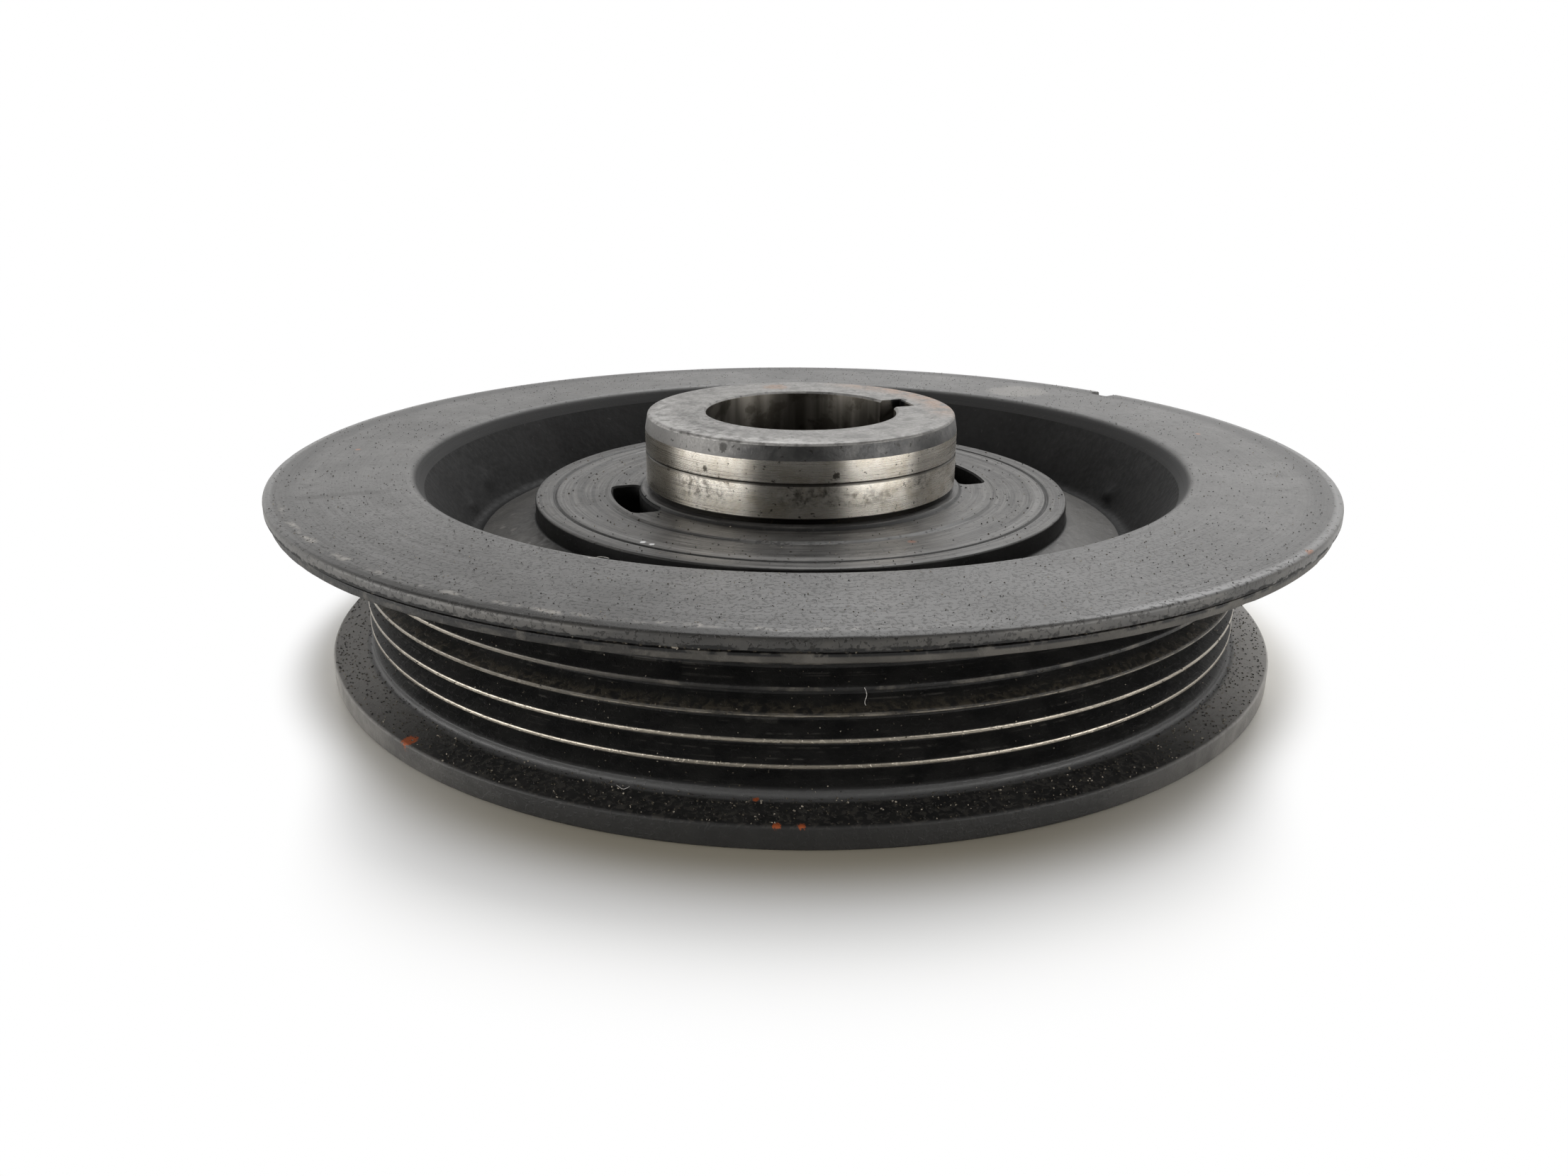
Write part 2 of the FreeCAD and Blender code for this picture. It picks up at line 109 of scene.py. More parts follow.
def arc_points(before, corner, after, radius, steps=None):
    """The points of an arc that rounds a corner between two straight runs."""
    back, on = (before - corner).normalized(), (after - corner).normalized()
    half = back.angle(on) / 2
    middle = corner + (back + on).normalized() * (radius / math.sin(half))
    start = corner + back * (radius / math.tan(half)) - middle
    end = corner + on * (radius / math.tan(half)) - middle
    sweep = start.angle_signed(end)
    steps = steps or max(2, math.ceil(abs(sweep) / ARC_STEP))
    return [middle + Matrix.Rotation(-sweep * k / steps, 2) @ start for k in range(steps + 1)]


def rounded_outline(corners, spacing=None, steps=None):
    """Turns corners (across, up, rounding, finish) into points, and says which finish follows each."""
    spacing = spacing or {}
    points, finishes = [], []
    count = len(corners)
    for i, (across, up, rounding, finish) in enumerate(corners):
        corner = Vector((across, up))
        before, after = Vector(corners[i - 1][:2]), Vector(corners[(i + 1) % count][:2])
        arc = arc_points(before, corner, after, rounding, steps) if rounding else [corner]
        points += arc
        finishes += [finish] * len(arc)
    fine_points, fine_finishes = [], []
    for i, (point, finish) in enumerate(zip(points, finishes)):
        onward = points[(i + 1) % len(points)] - point
        parts = max(1, round(onward.length / spacing.get(finish, 1e9)))
        fine_points += [point + onward * (k / parts) for k in range(parts)]
        fine_finishes += [finish] * parts
    return np.array([tuple(p) for p in fine_points]), fine_finishes


# %% A helper that turns an outline once round Z
def lathe(name, outline, finishes, materials, turns, unevenness=None):
    """Makes a closed ring from an outline in mm. unevenness moves points: it gets angle, radius, height."""
    around = np.arange(turns) * (2 * math.pi / turns)
    radius = np.tile(outline[:, 0], (turns, 1))
    height = np.tile(outline[:, 1], (turns, 1))
    if unevenness:
        radius, height = unevenness(around[:, None] + 0 * radius, radius, height)
    places = np.stack([radius * np.cos(around)[:, None], radius * np.sin(around)[:, None], height], axis=2)
    count = len(outline)
    i, j = np.meshgrid(np.arange(turns), np.arange(count), indexing="ij")
    next_i, next_j = (i + 1) % turns, (j + 1) % count
    corners = [i * count + j, next_i * count + j, next_i * count + next_j, i * count + next_j]
    faces = np.stack(corners, axis=2).reshape(-1, 4)
    mesh = bpy.data.meshes.new(name)
    mesh.from_pydata((places.reshape(-1, 3) * MM).tolist(), [], faces.tolist())
    order = list(materials)
    for key in order:
        mesh.materials.append(materials[key])
    slots = [order.index(finish) for finish in finishes]
    mesh.polygons.foreach_set("material_index", np.tile(slots, turns).astype(np.int32))
    piece = bpy.data.objects.new(name, mesh)
    bpy.context.collection.objects.link(piece)
    point_outwards(mesh)
    return piece


def point_outwards(mesh):
    """Turns every face of a closed mesh outwards."""
    work = bmesh.new()
    work.from_mesh(mesh)
    bmesh.ops.recalc_face_normals(work, faces=work.faces)
    work.to_mesh(mesh)
    work.free()


def smooth(piece, edge_angle=38):
    """Shades a piece smoothly, and keeps edges sharper than an angle crisp."""
    piece.data.shade_smooth()
    piece.data.set_sharp_from_angle(angle=math.radians(edge_angle))


def count_triangles(piece):
    piece.data.calc_loop_triangles()
    return len(piece.data.loop_triangles)


# %% [markdown]
# ## Wiring a material
#
# Materials here are wired by a small helper, so that each one reads as a recipe. Every pattern
# starts from Object coordinates, which are metres in the part's own frame. The same helper wires
# the Geometry Nodes trees further down, because both kinds of tree share their math nodes.

# %% A helper that wires nodes
class Wires:
    """Adds nodes to a node tree. A value may be a number, a colour or another node's socket."""

    def __init__(self, tree):
        self.tree = tree
        tree.nodes.clear()

    def node(self, kind, values=None, **settings):
        made = self.tree.nodes.new(kind)
        made.location = (220 * (len(self.tree.nodes) % 12), -260 * (len(self.tree.nodes) // 12))
        for key, setting in settings.items():
            setattr(made, key, setting)
        for socket, value in (values or {}).items():
            if isinstance(value, bpy.types.NodeSocket):
                self.tree.links.new(value, made.inputs[socket])
            else:
                made.inputs[socket].default_value = value
        return made

    def math(self, operation, first, second=0.0, third=0.0, clamp=False):
        values = {0: first, 1: second, 2: third}
        return self.node("ShaderNodeMath", values, operation=operation, use_clamp=clamp).outputs[0]

    def times(self, *masks):
        product = masks[0]
        for mask in masks[1:]:
            product = self.math("MULTIPLY", product, mask)
        return product

    def most(self, *masks):
        strongest = masks[0]
        for mask in masks[1:]:
            strongest = self.math("MAXIMUM", strongest, mask)
        return strongest

    def vector(self, operation, *vectors, by=None):
        values = dict(enumerate(vectors))
        if by is not None:
            values[3] = by
        made = self.node("ShaderNodeVectorMath", values, operation=operation)
        return made.outputs["Value" if operation in ("LENGTH", "DISTANCE", "DOT_PRODUCT") else "Vector"]

    def mix(self, share, first, second):
        return self.node("ShaderNodeMix", {0: share, 6: first, 7: second}, data_type="RGBA").outputs[2]

    def remap(self, value, low, high, to_low=0.0, to_high=1.0, smooth_ends=True):
        kind = "SMOOTHSTEP" if smooth_ends else "LINEAR"
        values = {0: value, 1: low, 2: high, 3: to_low, 4: to_high}
        return self.node("ShaderNodeMapRange", values, interpolation_type=kind, clamp=True).outputs[0]

    def window(self, value, middle, half, soft):
        """1 where a value lies within half of the middle, falling to 0 over soft."""
        away = self.math("ABSOLUTE", self.math("SUBTRACT", value, middle))
        return self.remap(away, half - soft, half + soft, 1.0, 0.0)

    def noise(self, vector, scale, detail=2.0, roughness=0.5, distortion=0.0):
        values = {"Vector": vector, "Scale": scale, "Detail": detail, "Roughness": roughness,
                  "Distortion": distortion}
        return self.node("ShaderNodeTexNoise", values).outputs[0]

    def group(self, tree, values=None):
        return self.node("ShaderNodeGroup", values, node_tree=tree).outputs


# %% [markdown]
# ## Where a point lies on a turned part
#
# On a lathe everything depends on the distance from the axis, the height and the way around it.
# So every pattern and every scattered grain starts from these, and they are wired in one place.

# %% Helpers that measure a place around the axis
def measure(wires, position):
    """For a position in metres: the place in mm, its radius, its height, and the flat vector outwards."""
    place = wires.vector("SCALE", position, by=1.0 / MM)
    flat = wires.vector("MULTIPLY", place, (1.0, 1.0, 0.0))
    height = wires.node("ShaderNodeSeparateXYZ", {0: place}).outputs[2]
    return place, wires.vector("LENGTH", flat), height, flat


def bearing(wires, vector):
    """The angle of a vector around the axis, in the same degrees as in seen_at."""
    to_right = wires.vector("DOT_PRODUCT", vector, seen_at(90, 1, 0))
    to_front = wires.vector("DOT_PRODUCT", vector, seen_at(0, 1, 0))
    return wires.math("DEGREES", wires.math("ARCTAN2", to_right, to_front))


# %% [markdown]
# ## Effects that several finishes share
#
# A turned surface carries rings, dirt lies in patches, and damage and rust are spots at known
# places. Each effect is one shader group, built once, with named inputs. A group could also be
# copied into every material, but then a change to the rings would have to be made eight times.

# %% Shader groups
def make_group(name, inputs, outputs):
    """A shader group with named sockets. Inputs are given as (name, kind, first value)."""
    tree = bpy.data.node_groups.new(name, "ShaderNodeTree")
    wires = Wires(tree)
    for socket, kind, value in inputs:
        made = tree.interface.new_socket(socket, in_out="INPUT", socket_type=f"NodeSocket{kind}")
        if value is not None:
            made.default_value = value
    for socket, kind in outputs:
        tree.interface.new_socket(socket, in_out="OUTPUT", socket_type=f"NodeSocket{kind}")
    start, end = tree.nodes.new("NodeGroupInput"), tree.nodes.new("NodeGroupOutput")
    return tree, wires, start.outputs, end.inputs


def make_turned_place():
    """Radius and height in mm, the angle from the side that faces the camera, and the way around."""
    tree, w, _, end = make_group("turned_place", [], [
        ("Radius", "Float"), ("Height", "Float"), ("Angle", "Float"), ("Around", "Vector"),
        ("Place", "Vector"),
    ])
    place, radius, height, flat = measure(w, w.node("ShaderNodeTexCoord").outputs["Object"])
    found = (radius, height, bearing(w, place), w.vector("NORMALIZE", flat), place)
    for socket, value in zip(("Radius", "Height", "Angle", "Around", "Place"), found):
        tree.links.new(value, end[socket])
    return tree


def make_ring_marks():
    """Fine rings left by the cutting tool: they change quickly across and slowly around."""
    tree, w, start, end = make_group("ring_marks", [
        ("Across", "Float", 0.0), ("Around", "Vector", None), ("Spacing", "Float", 0.4),
        ("Wander", "Float", 2.0),
    ], [("Lines", "Float")])
    steps = w.math("DIVIDE", start["Across"], start["Spacing"])
    slow = w.vector("SCALE", start["Around"], by=start["Wander"])
    vector = w.vector("ADD", slow, w.node("ShaderNodeCombineXYZ", {2: steps}).outputs[0])
    tree.links.new(w.noise(vector, 1.0, 2.0, 0.6), end["Lines"])
    return tree


def make_patches():
    """Irregular patches that cover about a share of the surface."""
    tree, w, start, end = make_group("patches", [
        ("Place", "Vector", None), ("Size", "Float", 8.0), ("Cover", "Float", 0.4),
        ("Softness", "Float", 0.1),
        ("Detail", "Float", 4.0),
    ], [("Mask", "Float")])
    scale = w.math("DIVIDE", 1.0, start["Size"])
    value = w.noise(start["Place"], scale, start["Detail"], 0.6, 0.4)
    level = w.remap(start["Cover"], 0.0, 1.0, 0.72, 0.28, smooth_ends=False)
    low, high = w.math("SUBTRACT", level, start["Softness"]), w.math("ADD", level, start["Softness"])
    tree.links.new(w.remap(value, low, high), end["Mask"])
    return tree


def make_spot():
    """A ragged spot around a centre in mm."""
    tree, w, start, end = make_group("spot", [
        ("Place", "Vector", None), ("Centre", "Vector", None), ("Size", "Float", 1.0),
        ("Ragged", "Float", 0.5),
    ], [("Mask", "Float")])
    share = w.math("DIVIDE", w.vector("DISTANCE", start["Place"], start["Centre"]), start["Size"])
    shake = w.math("SUBTRACT", w.noise(start["Place"], w.math("DIVIDE", 2.2, start["Size"]), 4.0, 0.7), 0.5)
    shaken = w.math("MULTIPLY_ADD", shake, w.math("MULTIPLY", start["Ragged"], 4.0), share)
    tree.links.new(w.remap(shaken, 0.75, 1.1, 1.0, 0.0), end["Mask"])
    return tree


TURNED_PLACE, RING_MARKS, PATCHES, SPOT = make_turned_place(), make_ring_marks(), make_patches(), make_spot()
print("shader groups:", [g.name for g in bpy.data.node_groups])

# %% [markdown]
# ## A finish, painted layer over layer
#
# A worn surface is read as layers: the bare tone first, then tool marks, stains, dirt and rust, and
# in places painted light and shade. So a finish here is a base tone and a list of layers, each with a
# mask, a strength and a colour.
# Only what varies over the surface is wired. What stays the same is set on the shader itself.

# %% A finish that knows where its points lie
class Finish(Wires):
    """A material of the turned part. Its masks are in mm and degrees."""

    def __init__(self, name):
        self.material = bpy.data.materials.new(name)
        self.material.use_nodes = True
        super().__init__(self.material.node_tree)
        found = self.group(TURNED_PLACE)
        self.radius, self.height, self.angle = found["Radius"], found["Height"], found["Angle"]
        self.around, self.place = found["Around"], found["Place"]

    def rings(self, across, spacing, wander=2.0):
        values = {"Across": across, "Around": self.around, "Spacing": spacing, "Wander": wander}
        return self.group(RING_MARKS, values)["Lines"]

    def patches(self, size, cover, softness=0.06, detail=4.0):
        values = {"Place": self.place, "Size": size, "Cover": cover, "Softness": softness, "Detail": detail}
        return self.group(PATCHES, values)["Mask"]

    def spot(self, angle, radius, height, size, ragged=0.5):
        values = {"Place": self.place, "Centre": seen_at(angle, radius, height), "Size": size,
                  "Ragged": ragged}
        return self.group(SPOT, values)["Mask"]

    def wandering(self, value, reach, scale, detail, roughness):
        """A value that strays by up to half of reach, so that a border drawn from it is ragged."""
        start = self.math("SUBTRACT", value, reach / 2)
        return self.math("MULTIPLY_ADD", self.noise(self.place, scale, detail, roughness), reach, start)

    def paint(self, tone, *layers):
        """Lays colours over a tone, one after another: (mask, strength, colour)."""
        for mask, strength, colour in layers:
            tone = self.mix(self.times(mask, strength), tone, colour)
        return tone

    def end(self, colour, roughness, height=None, bump_mm=0.05, metal=0.0, grain=0.0, specular=0.5):
        """Ends in a Principled shader. Grain stretches the highlight across the tool marks."""
        values = {"Base Color": colour, "Roughness": roughness, "Metallic": metal,
                  "Specular IOR Level": specular}
        if grain:
            tangent = self.node("ShaderNodeTangent", direction_type="RADIAL", axis="Z").outputs[0]
            values.update({"Anisotropic": grain, "Anisotropic Rotation": 0.25, "Tangent": tangent})
        if height is not None:
            bump = self.node("ShaderNodeBump", {"Height": height, "Strength": 1.0, "Distance": bump_mm * MM})
            values["Normal"] = bump.outputs[0]
        shader = self.node("ShaderNodeBsdfPrincipled", values)
        self.node("ShaderNodeOutputMaterial", {"Surface": shader.outputs[0]})
        return self.material


def grey(level, warm=0.0):
    """A grey that leans to brown as warm grows."""
    return (level * (1 + warm), level, level * (1 - 1.6 * warm), 1.0)


# %% [markdown]
# ## The finishes of the hub
#
# The hub is one casting, but the lathe has been over its working faces. The wide flange shows fine
# rings under a film of oil and dust. The rings are painted lighter on the side that faces the camera,
# a painted sheen where the light grazes them, and the far side looks cloudy instead. The front right
# of the flange gets painted shade, and the rounded corner a painted dark ring, a painted highlight
# and painted shade at its front. Dirt is caked in the seam over the rubber, with painted shade in the
# gap, and the corner of the flange is beaten bright in places.

# %% The film of oil and dust on the flange
FLANGE_FACE, FLANGE_RADIUS, SEAM_HEIGHT = 31.3, 88.0, 29.55
RUST = (0.30, 0.12, 0.05, 1.0)


def flange_film(w, facing, turned_away, lines, clouds):
    # The rings are painted lighter where the flange faces the camera: painted sheen over real tool marks.
    tool_marks_and_sheen = w.times(w.remap(lines, 0.35, 0.7), w.remap(facing, 0.0, 1.0, 0.05, 0.5),
                         w.patches(16.0, 0.6, 0.15))
    stains = w.times(w.patches(3.2, 0.2, 0.05, 6.0), turned_away)
    streak = w.times(w.window(w.wandering(w.angle, 4.0, 0.3, 3.0, 0.6), -65.5, 0.8, 0.7),
                     w.window(w.radius, 76.5, 7.0, 2.0))
    return w.paint(
        w.mix(w.patches(24.0, 0.5, 0.2, 5.0), grey(0.072, 0.015), grey(0.112, 0.015)),
        # Painted shade: the flange face is darker at the front right.
        (w.window(w.angle, 28.0, 24.0, 12.0), 0.4, grey(0.03, 0.02)),
        (clouds, 0.5, grey(0.036, 0.02)),
        (w.patches(2.0, 0.45, 0.15, 4.0), 0.35, grey(0.034, 0.03)),
        (stains, 0.55, grey(0.014, 0.03)),
        (tool_marks_and_sheen, 1.0, grey(0.13)),
        (streak, 0.7, grey(0.02, 0.05)),
        (w.spot(140.5, 74.5, FLANGE_FACE, 6.5, 0.25), 0.5, grey(0.20, 0.05)),
    )


# %% The wear along the flange's corner, with painted shade and a painted highlight on its rounding
def flange_corner(w, tone, turned_away):
    # A dark ring painted on the far side of the rounded corner: painted shade, the dark that the rounding
    # would reflect.
    painted_shade_ring = w.times(w.window(w.radius, 85.0, 1.9, 1.3), turned_away)
    # A light band painted along the outer edge on the far side and the right: a painted highlight.
    painted_highlight_band = w.times(w.remap(w.radius, 86.4, 87.0), w.most(turned_away, w.remap(w.angle, 15.0, 35.0)))
    wandering = w.wandering(w.radius, 1.8, 0.25, 4.0, 0.65)
    beaten = w.times(w.window(wandering, 85.6, 0.45, 0.4), w.window(w.angle, -30.0, 34.0, 12.0),
                     w.patches(3.0, 0.36, 0.12, 6.0))
    # The front of the rounded corner is painted dark: painted shade where the corner turns to the camera.
    painted_front_shade = w.times(w.remap(wandering, 85.9, 86.8), w.window(w.angle, -12.0, 32.0, 12.0))
    rusty = w.most(w.spot(-88.6, 77.5, FLANGE_FACE, 0.5), w.spot(101.9, 75.9, FLANGE_FACE, 0.5),
                   w.spot(50.7, 87.9, 30.8, 1.0, 0.7))
    return w.paint(
        tone,
        (painted_shade_ring, 0.7, grey(0.02)),
        (painted_highlight_band, 0.7, grey(0.20)),
        (beaten, 0.8, grey(0.28, 0.06)),
        (painted_front_shade, 0.95, grey(0.016, 0.05)),
        (rusty, 0.7, RUST),
    )


# %% The turned flange, with its rim
def make_turned_flange():
    w = Finish("turned_flange")
    facing = w.window(w.angle, -5.0, 58.0, 25.0)
    turned_away = w.math("SUBTRACT", 1.0, facing)
    lines = w.rings(w.radius, 0.25, 3.0)
    clouds = w.patches(7.0, 0.4, 0.18, 6.0)
    tone = flange_corner(w, flange_film(w, facing, turned_away, lines, clouds), turned_away)
    rim = w.times(w.remap(w.radius, 80.0, 82.0), w.remap(w.height, FLANGE_FACE - 0.15, FLANGE_FACE - 0.4))
    # Near the seam the rim is painted black in patches: partly caked dirt, partly painted shade in the gap
    # over the rubber.
    near_seam = w.remap(w.wandering(w.height, 1.2, 0.6, 4.0, 0.65), SEAM_HEIGHT + 0.47, SEAM_HEIGHT + 0.3)
    caked_side = w.window(w.angle, -30.0, 36.0, 16.0)
    caked = w.patches(2.6, w.remap(caked_side, 0.0, 1.0, 0.5, 0.75), 0.06, 5.0)
    grime = w.times(w.remap(w.radius, 86.8, 87.4), near_seam, caked)
    rim_tone = w.mix(grime, w.mix(clouds, grey(0.040, 0.03), grey(0.066, 0.06)), grey(0.004))
    # The rounding into the dish is painted near black: partly cast skin, partly painted shade.
    throat_skin_and_shade = w.times(w.remap(w.radius, 70.0, 69.0), w.remap(w.height, FLANGE_FACE - 0.02, FLANGE_FACE - 0.8))
    specks = w.patches(0.55, w.remap(facing, 0.0, 1.0, 0.18, 0.34), 0.03, 3.0)
    tone = w.paint(tone, (rim, 1.0, rim_tone), (throat_skin_and_shade, 1.0, grey(0.006)), (specks, 0.85, grey(0.010, 0.1)))
    dull = w.most(throat_skin_and_shade, grime)
    rough = w.math("ADD", w.remap(lines, 0.3, 0.7, 0.44, 0.40), w.times(dull, 0.4))
    height = w.math("MULTIPLY_ADD", lines, w.remap(facing, 0.0, 1.0, 0.05, 0.25), w.times(specks, 0.9))
    return w.end(tone, rough, height, 0.03, metal=w.remap(dull, 0.0, 1.0, 0.25, 0.0), grain=0.4)


# %% [markdown]
# ## Casting skin
#
# The wall of the dish and the front side keep the skin that the sand left: nearly black, rough and
# grainy. The web at the foot of the dish is the same skin, rubbed lighter and dotted with crumbs.

# %% The casting skin, and the web at the foot of the dish
def make_cast_skin():
    w = Finish("cast_skin")
    grains = w.noise(w.place, 0.9, 5.0, 0.55)
    tone = w.mix(w.patches(14.0, 0.5, 0.25), grey(0.006), grey(0.013))
    tone = w.paint(tone, (w.patches(1.0, 0.10, 0.03), 0.3, grey(0.05, 0.05)))
    return w.end(tone, w.remap(grains, 0.3, 0.7, 0.55, 0.7), grains, 0.1, specular=0.14)


def make_web_skin():
    w = Finish("web_skin")
    grains = w.noise(w.place, 0.8, 5.0, 0.55)
    crumbs = w.most(w.spot(-75.0, 50.0, 20.0, 0.7), w.spot(-79.0, 52.0, 19.6, 0.6),
                    w.patches(1.1, 0.13, 0.03))
    tone = w.mix(w.patches(12.0, 0.5, 0.25), grey(0.042, 0.05), grey(0.076, 0.06))
    tone = w.paint(tone, (crumbs, 0.5, grey(0.2, 0.06)))
    return w.end(tone, w.remap(grains, 0.3, 0.7, 0.42, 0.58), grains, 0.08)


# %% [markdown]
# ## The turned disc around the sleeve
#
# The disc was turned with a coarser tool, so its rings are wide and uneven. Black lines are painted
# in its corners and steps: painted shade, together with oil that is never wiped away there.

# %% The disc's rings, dirt and corners
DISC_RADIUS, DISC_HEIGHT = 46.2, 24.9


def make_turned_disc():
    w = Finish("turned_disc")
    lines, broad_lines = w.rings(w.radius, 0.3, 2.5), w.rings(w.radius, 1.1, 1.2)
    stains = w.patches(6.0, 0.5, 0.15, 6.0)
    worn = w.times(w.window(w.radius, 41.5, 0.6, 0.3), w.remap(lines, 0.3, 0.6))
    dirt = w.times(w.window(w.radius, 39.7, 0.45, 0.25), w.window(w.angle, 0.0, 26.0, 8.0),
                   w.patches(2.5, 0.55, 0.1))
    crumbs = w.times(w.window(w.radius, 34.5, 0.8, 0.4), w.window(w.angle, -3.0, 14.0, 5.0),
                     w.patches(0.9, 0.4, 0.05))
    specks = w.patches(0.7, 0.17, 0.03, 3.0)
    flecks = w.most(w.spot(-35.0, 41.5, DISC_HEIGHT, 0.5), w.spot(-32.5, 41.6, DISC_HEIGHT, 0.45))
    side = w.times(w.remap(w.radius, DISC_RADIUS - 0.3, DISC_RADIUS - 0.1),
                   w.remap(w.height, DISC_HEIGHT - 0.15, DISC_HEIGHT - 0.4))
    tone = w.paint(
        w.mix(stains, grey(0.034, 0.03), grey(0.074, 0.04)),
        (w.patches(1.6, 0.45, 0.12, 5.0), 0.4, grey(0.018, 0.04)),
        (w.remap(broad_lines, 0.44, 0.62), 0.85, grey(0.014, 0.03)),
        (w.remap(lines, 0.45, 0.7), 0.6, grey(0.13, 0.03)),
        (worn, 0.5, grey(0.16, 0.02)),
        # Black in the step's groove and at the collar's corner: painted shade, with some oil.
        (w.window(w.radius, 42.9, 0.35, 0.15), 0.9, grey(0.008)),
        (w.window(w.radius, 28.25, 0.3, 0.15), 0.9, grey(0.01)),
        (w.most(dirt, crumbs), 0.85, grey(0.008, 0.05)),
        (specks, 0.8, grey(0.01, 0.1)),
        (w.spot(28.0, 36.5, 24.8, 0.7), 0.7, (0.16, 0.05, 0.02, 1.0)),
        (flecks, 1.0, grey(0.55)),
        (side, 0.9, grey(0.006)),
        (w.spot(85.0, DISC_RADIUS, 23.2, 1.3), 0.7, (0.12, 0.06, 0.03, 1.0)),
    )
    height = w.math("MULTIPLY_ADD", lines, 0.5, w.times(specks, 1.2))
    return w.end(tone, w.remap(stains, 0.0, 1.0, 0.40, 0.5), height, 0.035, metal=0.25, grain=0.35)


# %% [markdown]
# ## The sleeve and its bore
#
# The sleeve is ground bright where the oil seal runs, with a dark track worn by the seal's lip and
# burnt oil on the lower band. A brown band at its front left is a painted reflection, and its foot is
# painted black as shade in the undercut. Above it the lead tapers and is dull, with a painted sheen
# at its left. The end is worn and rusty at the back, and the bore is polished by the crankshaft's
# nose that once filled it. A black spot in the keyway's corner is painted shadow.

# %% The ground sleeve that the oil seal runs on
SEAL_RADIUS, SLEEVE_TOP, BORE_RADIUS = 27.0, 38.6, 16.5
BURNT_ZONES = [
    # middle and half width in degrees, height and half height in mm
    (-36.0, 12.0, 30.2, 2.0),
    (4.0, 11.0, 30.2, 1.7),
    (22.0, 10.0, 29.6, 1.2),
    (45.0, 5.0, 30.6, 1.4),
]


def make_ground_sleeve():
    w = Finish("ground_sleeve")
    lines = w.rings(w.height, 0.12, 1.0)
    crust = w.patches(1.0, 0.38, 0.16, 8.0)
    zones = [w.times(w.window(w.angle, middle, half, 6.0), w.window(w.height, level, tall, 1.0))
             for middle, half, level, tall in BURNT_ZONES]
    # The foot is painted black: painted shade in the undercut.
    foot = w.remap(w.height, 26.8, 26.55)
    chips = w.most(w.spot(-34.0, SEAL_RADIUS, 33.5, 0.5), w.spot(-53.0, SEAL_RADIUS, 32.0, 0.5),
                   w.spot(12.0, SEAL_RADIUS, 33.5, 0.6), w.patches(0.8, 0.14, 0.03, 3.0))
    tone = w.paint(
        w.mix(w.patches(3.5, 0.4, 0.15, 6.0), grey(0.66, 0.06), grey(0.50, 0.10)),
        (w.remap(lines, 0.45, 0.7), 0.2, grey(0.30, 0.08)),
        # Painted reflection: a darker brown band at the front left, where the sleeve would mirror dark
        # things.
        (w.window(w.angle, -64.0, 16.0, 8.0), 0.8, grey(0.17, 0.13)),
        (w.times(w.most(*zones), crust), 0.8, grey(0.03, 0.25)),
        (w.window(w.height, 32.1, 0.28, 0.1), 0.9, grey(0.02, 0.1)),
        (foot, 1.0, grey(0.012, 0.1)),
        (chips, 0.85, grey(0.03, 0.2)),
    )
    rough = w.math("ADD", w.remap(lines, 0.3, 0.7, 0.24, 0.32), w.times(foot, 0.35))
    return w.end(tone, rough, lines, 0.006, metal=0.95, grain=0.9)


# %% The dull lead and the worn end of the sleeve
def make_sleeve_lead():
    w = Finish("sleeve_lead")
    chips = w.most(w.patches(1.0, 0.16, 0.03, 3.0), w.spot(-27.0, 26.7, 37.3, 0.8))
    tone = w.paint(
        w.mix(w.patches(4.0, 0.5, 0.15, 6.0), grey(0.040), grey(0.085, 0.02)),
        # Painted sheen: the lead is lighter at the left.
        (w.window(w.angle, -55.0, 32.0, 15.0), 0.7, grey(0.16, 0.03)),
        (chips, 0.85, grey(0.015, 0.1)),
    )
    grains = w.noise(w.place, 2.2, 5.0, 0.6)
    return w.end(tone, w.remap(grains, 0.3, 0.7, 0.38, 0.5), grains, 0.04, metal=0.5, grain=0.5)


def make_sleeve_end():
    w = Finish("sleeve_end")
    scratches = w.rings(w.radius, 0.5, 5.0)
    rust = w.times(w.window(w.angle, 122.0, 38.0, 15.0), w.remap(w.radius, 20.5, 25.0),
                   w.patches(3.0, 0.6, 0.12, 6.0))
    rust = w.most(rust, w.times(w.spot(-167.0, 21.5, SLEEVE_TOP, 2.4, 0.6), 0.8))
    cracks = w.times(w.window(w.angle, -54.0, 26.0, 8.0), w.patches(1.4, 0.4, 0.05, 6.0))
    whitish = w.times(w.window(w.angle, -50.0, 60.0, 20.0), w.remap(w.radius, 21.0, 24.5),
                      w.patches(2.0, 0.5, 0.1, 6.0))
    tone = w.paint(
        w.mix(w.patches(3.0, 0.55, 0.15, 7.0), grey(0.09, 0.03), grey(0.19, 0.03)),
        (w.remap(scratches, 0.4, 0.7), 0.4, grey(0.11, 0.04)),
        (rust, 0.75, (0.22, 0.13, 0.08, 1.0)),
        (w.most(w.patches(1.6, 0.2, 0.05, 5.0), cracks), 0.75, grey(0.035, 0.05)),
        (whitish, 0.5, grey(0.42, 0.02)),
        # Painted shadow in the keyway's corner.
        (w.spot(117.0, 20.0, 38.4, 1.4, 0.3), 1.0, grey(0.01)),
    )
    grains = w.noise(w.place, 1.6, 6.0, 0.65)
    return w.end(tone, w.remap(grains, 0.3, 0.7, 0.38, 0.55), grains, 0.08, metal=0.4)


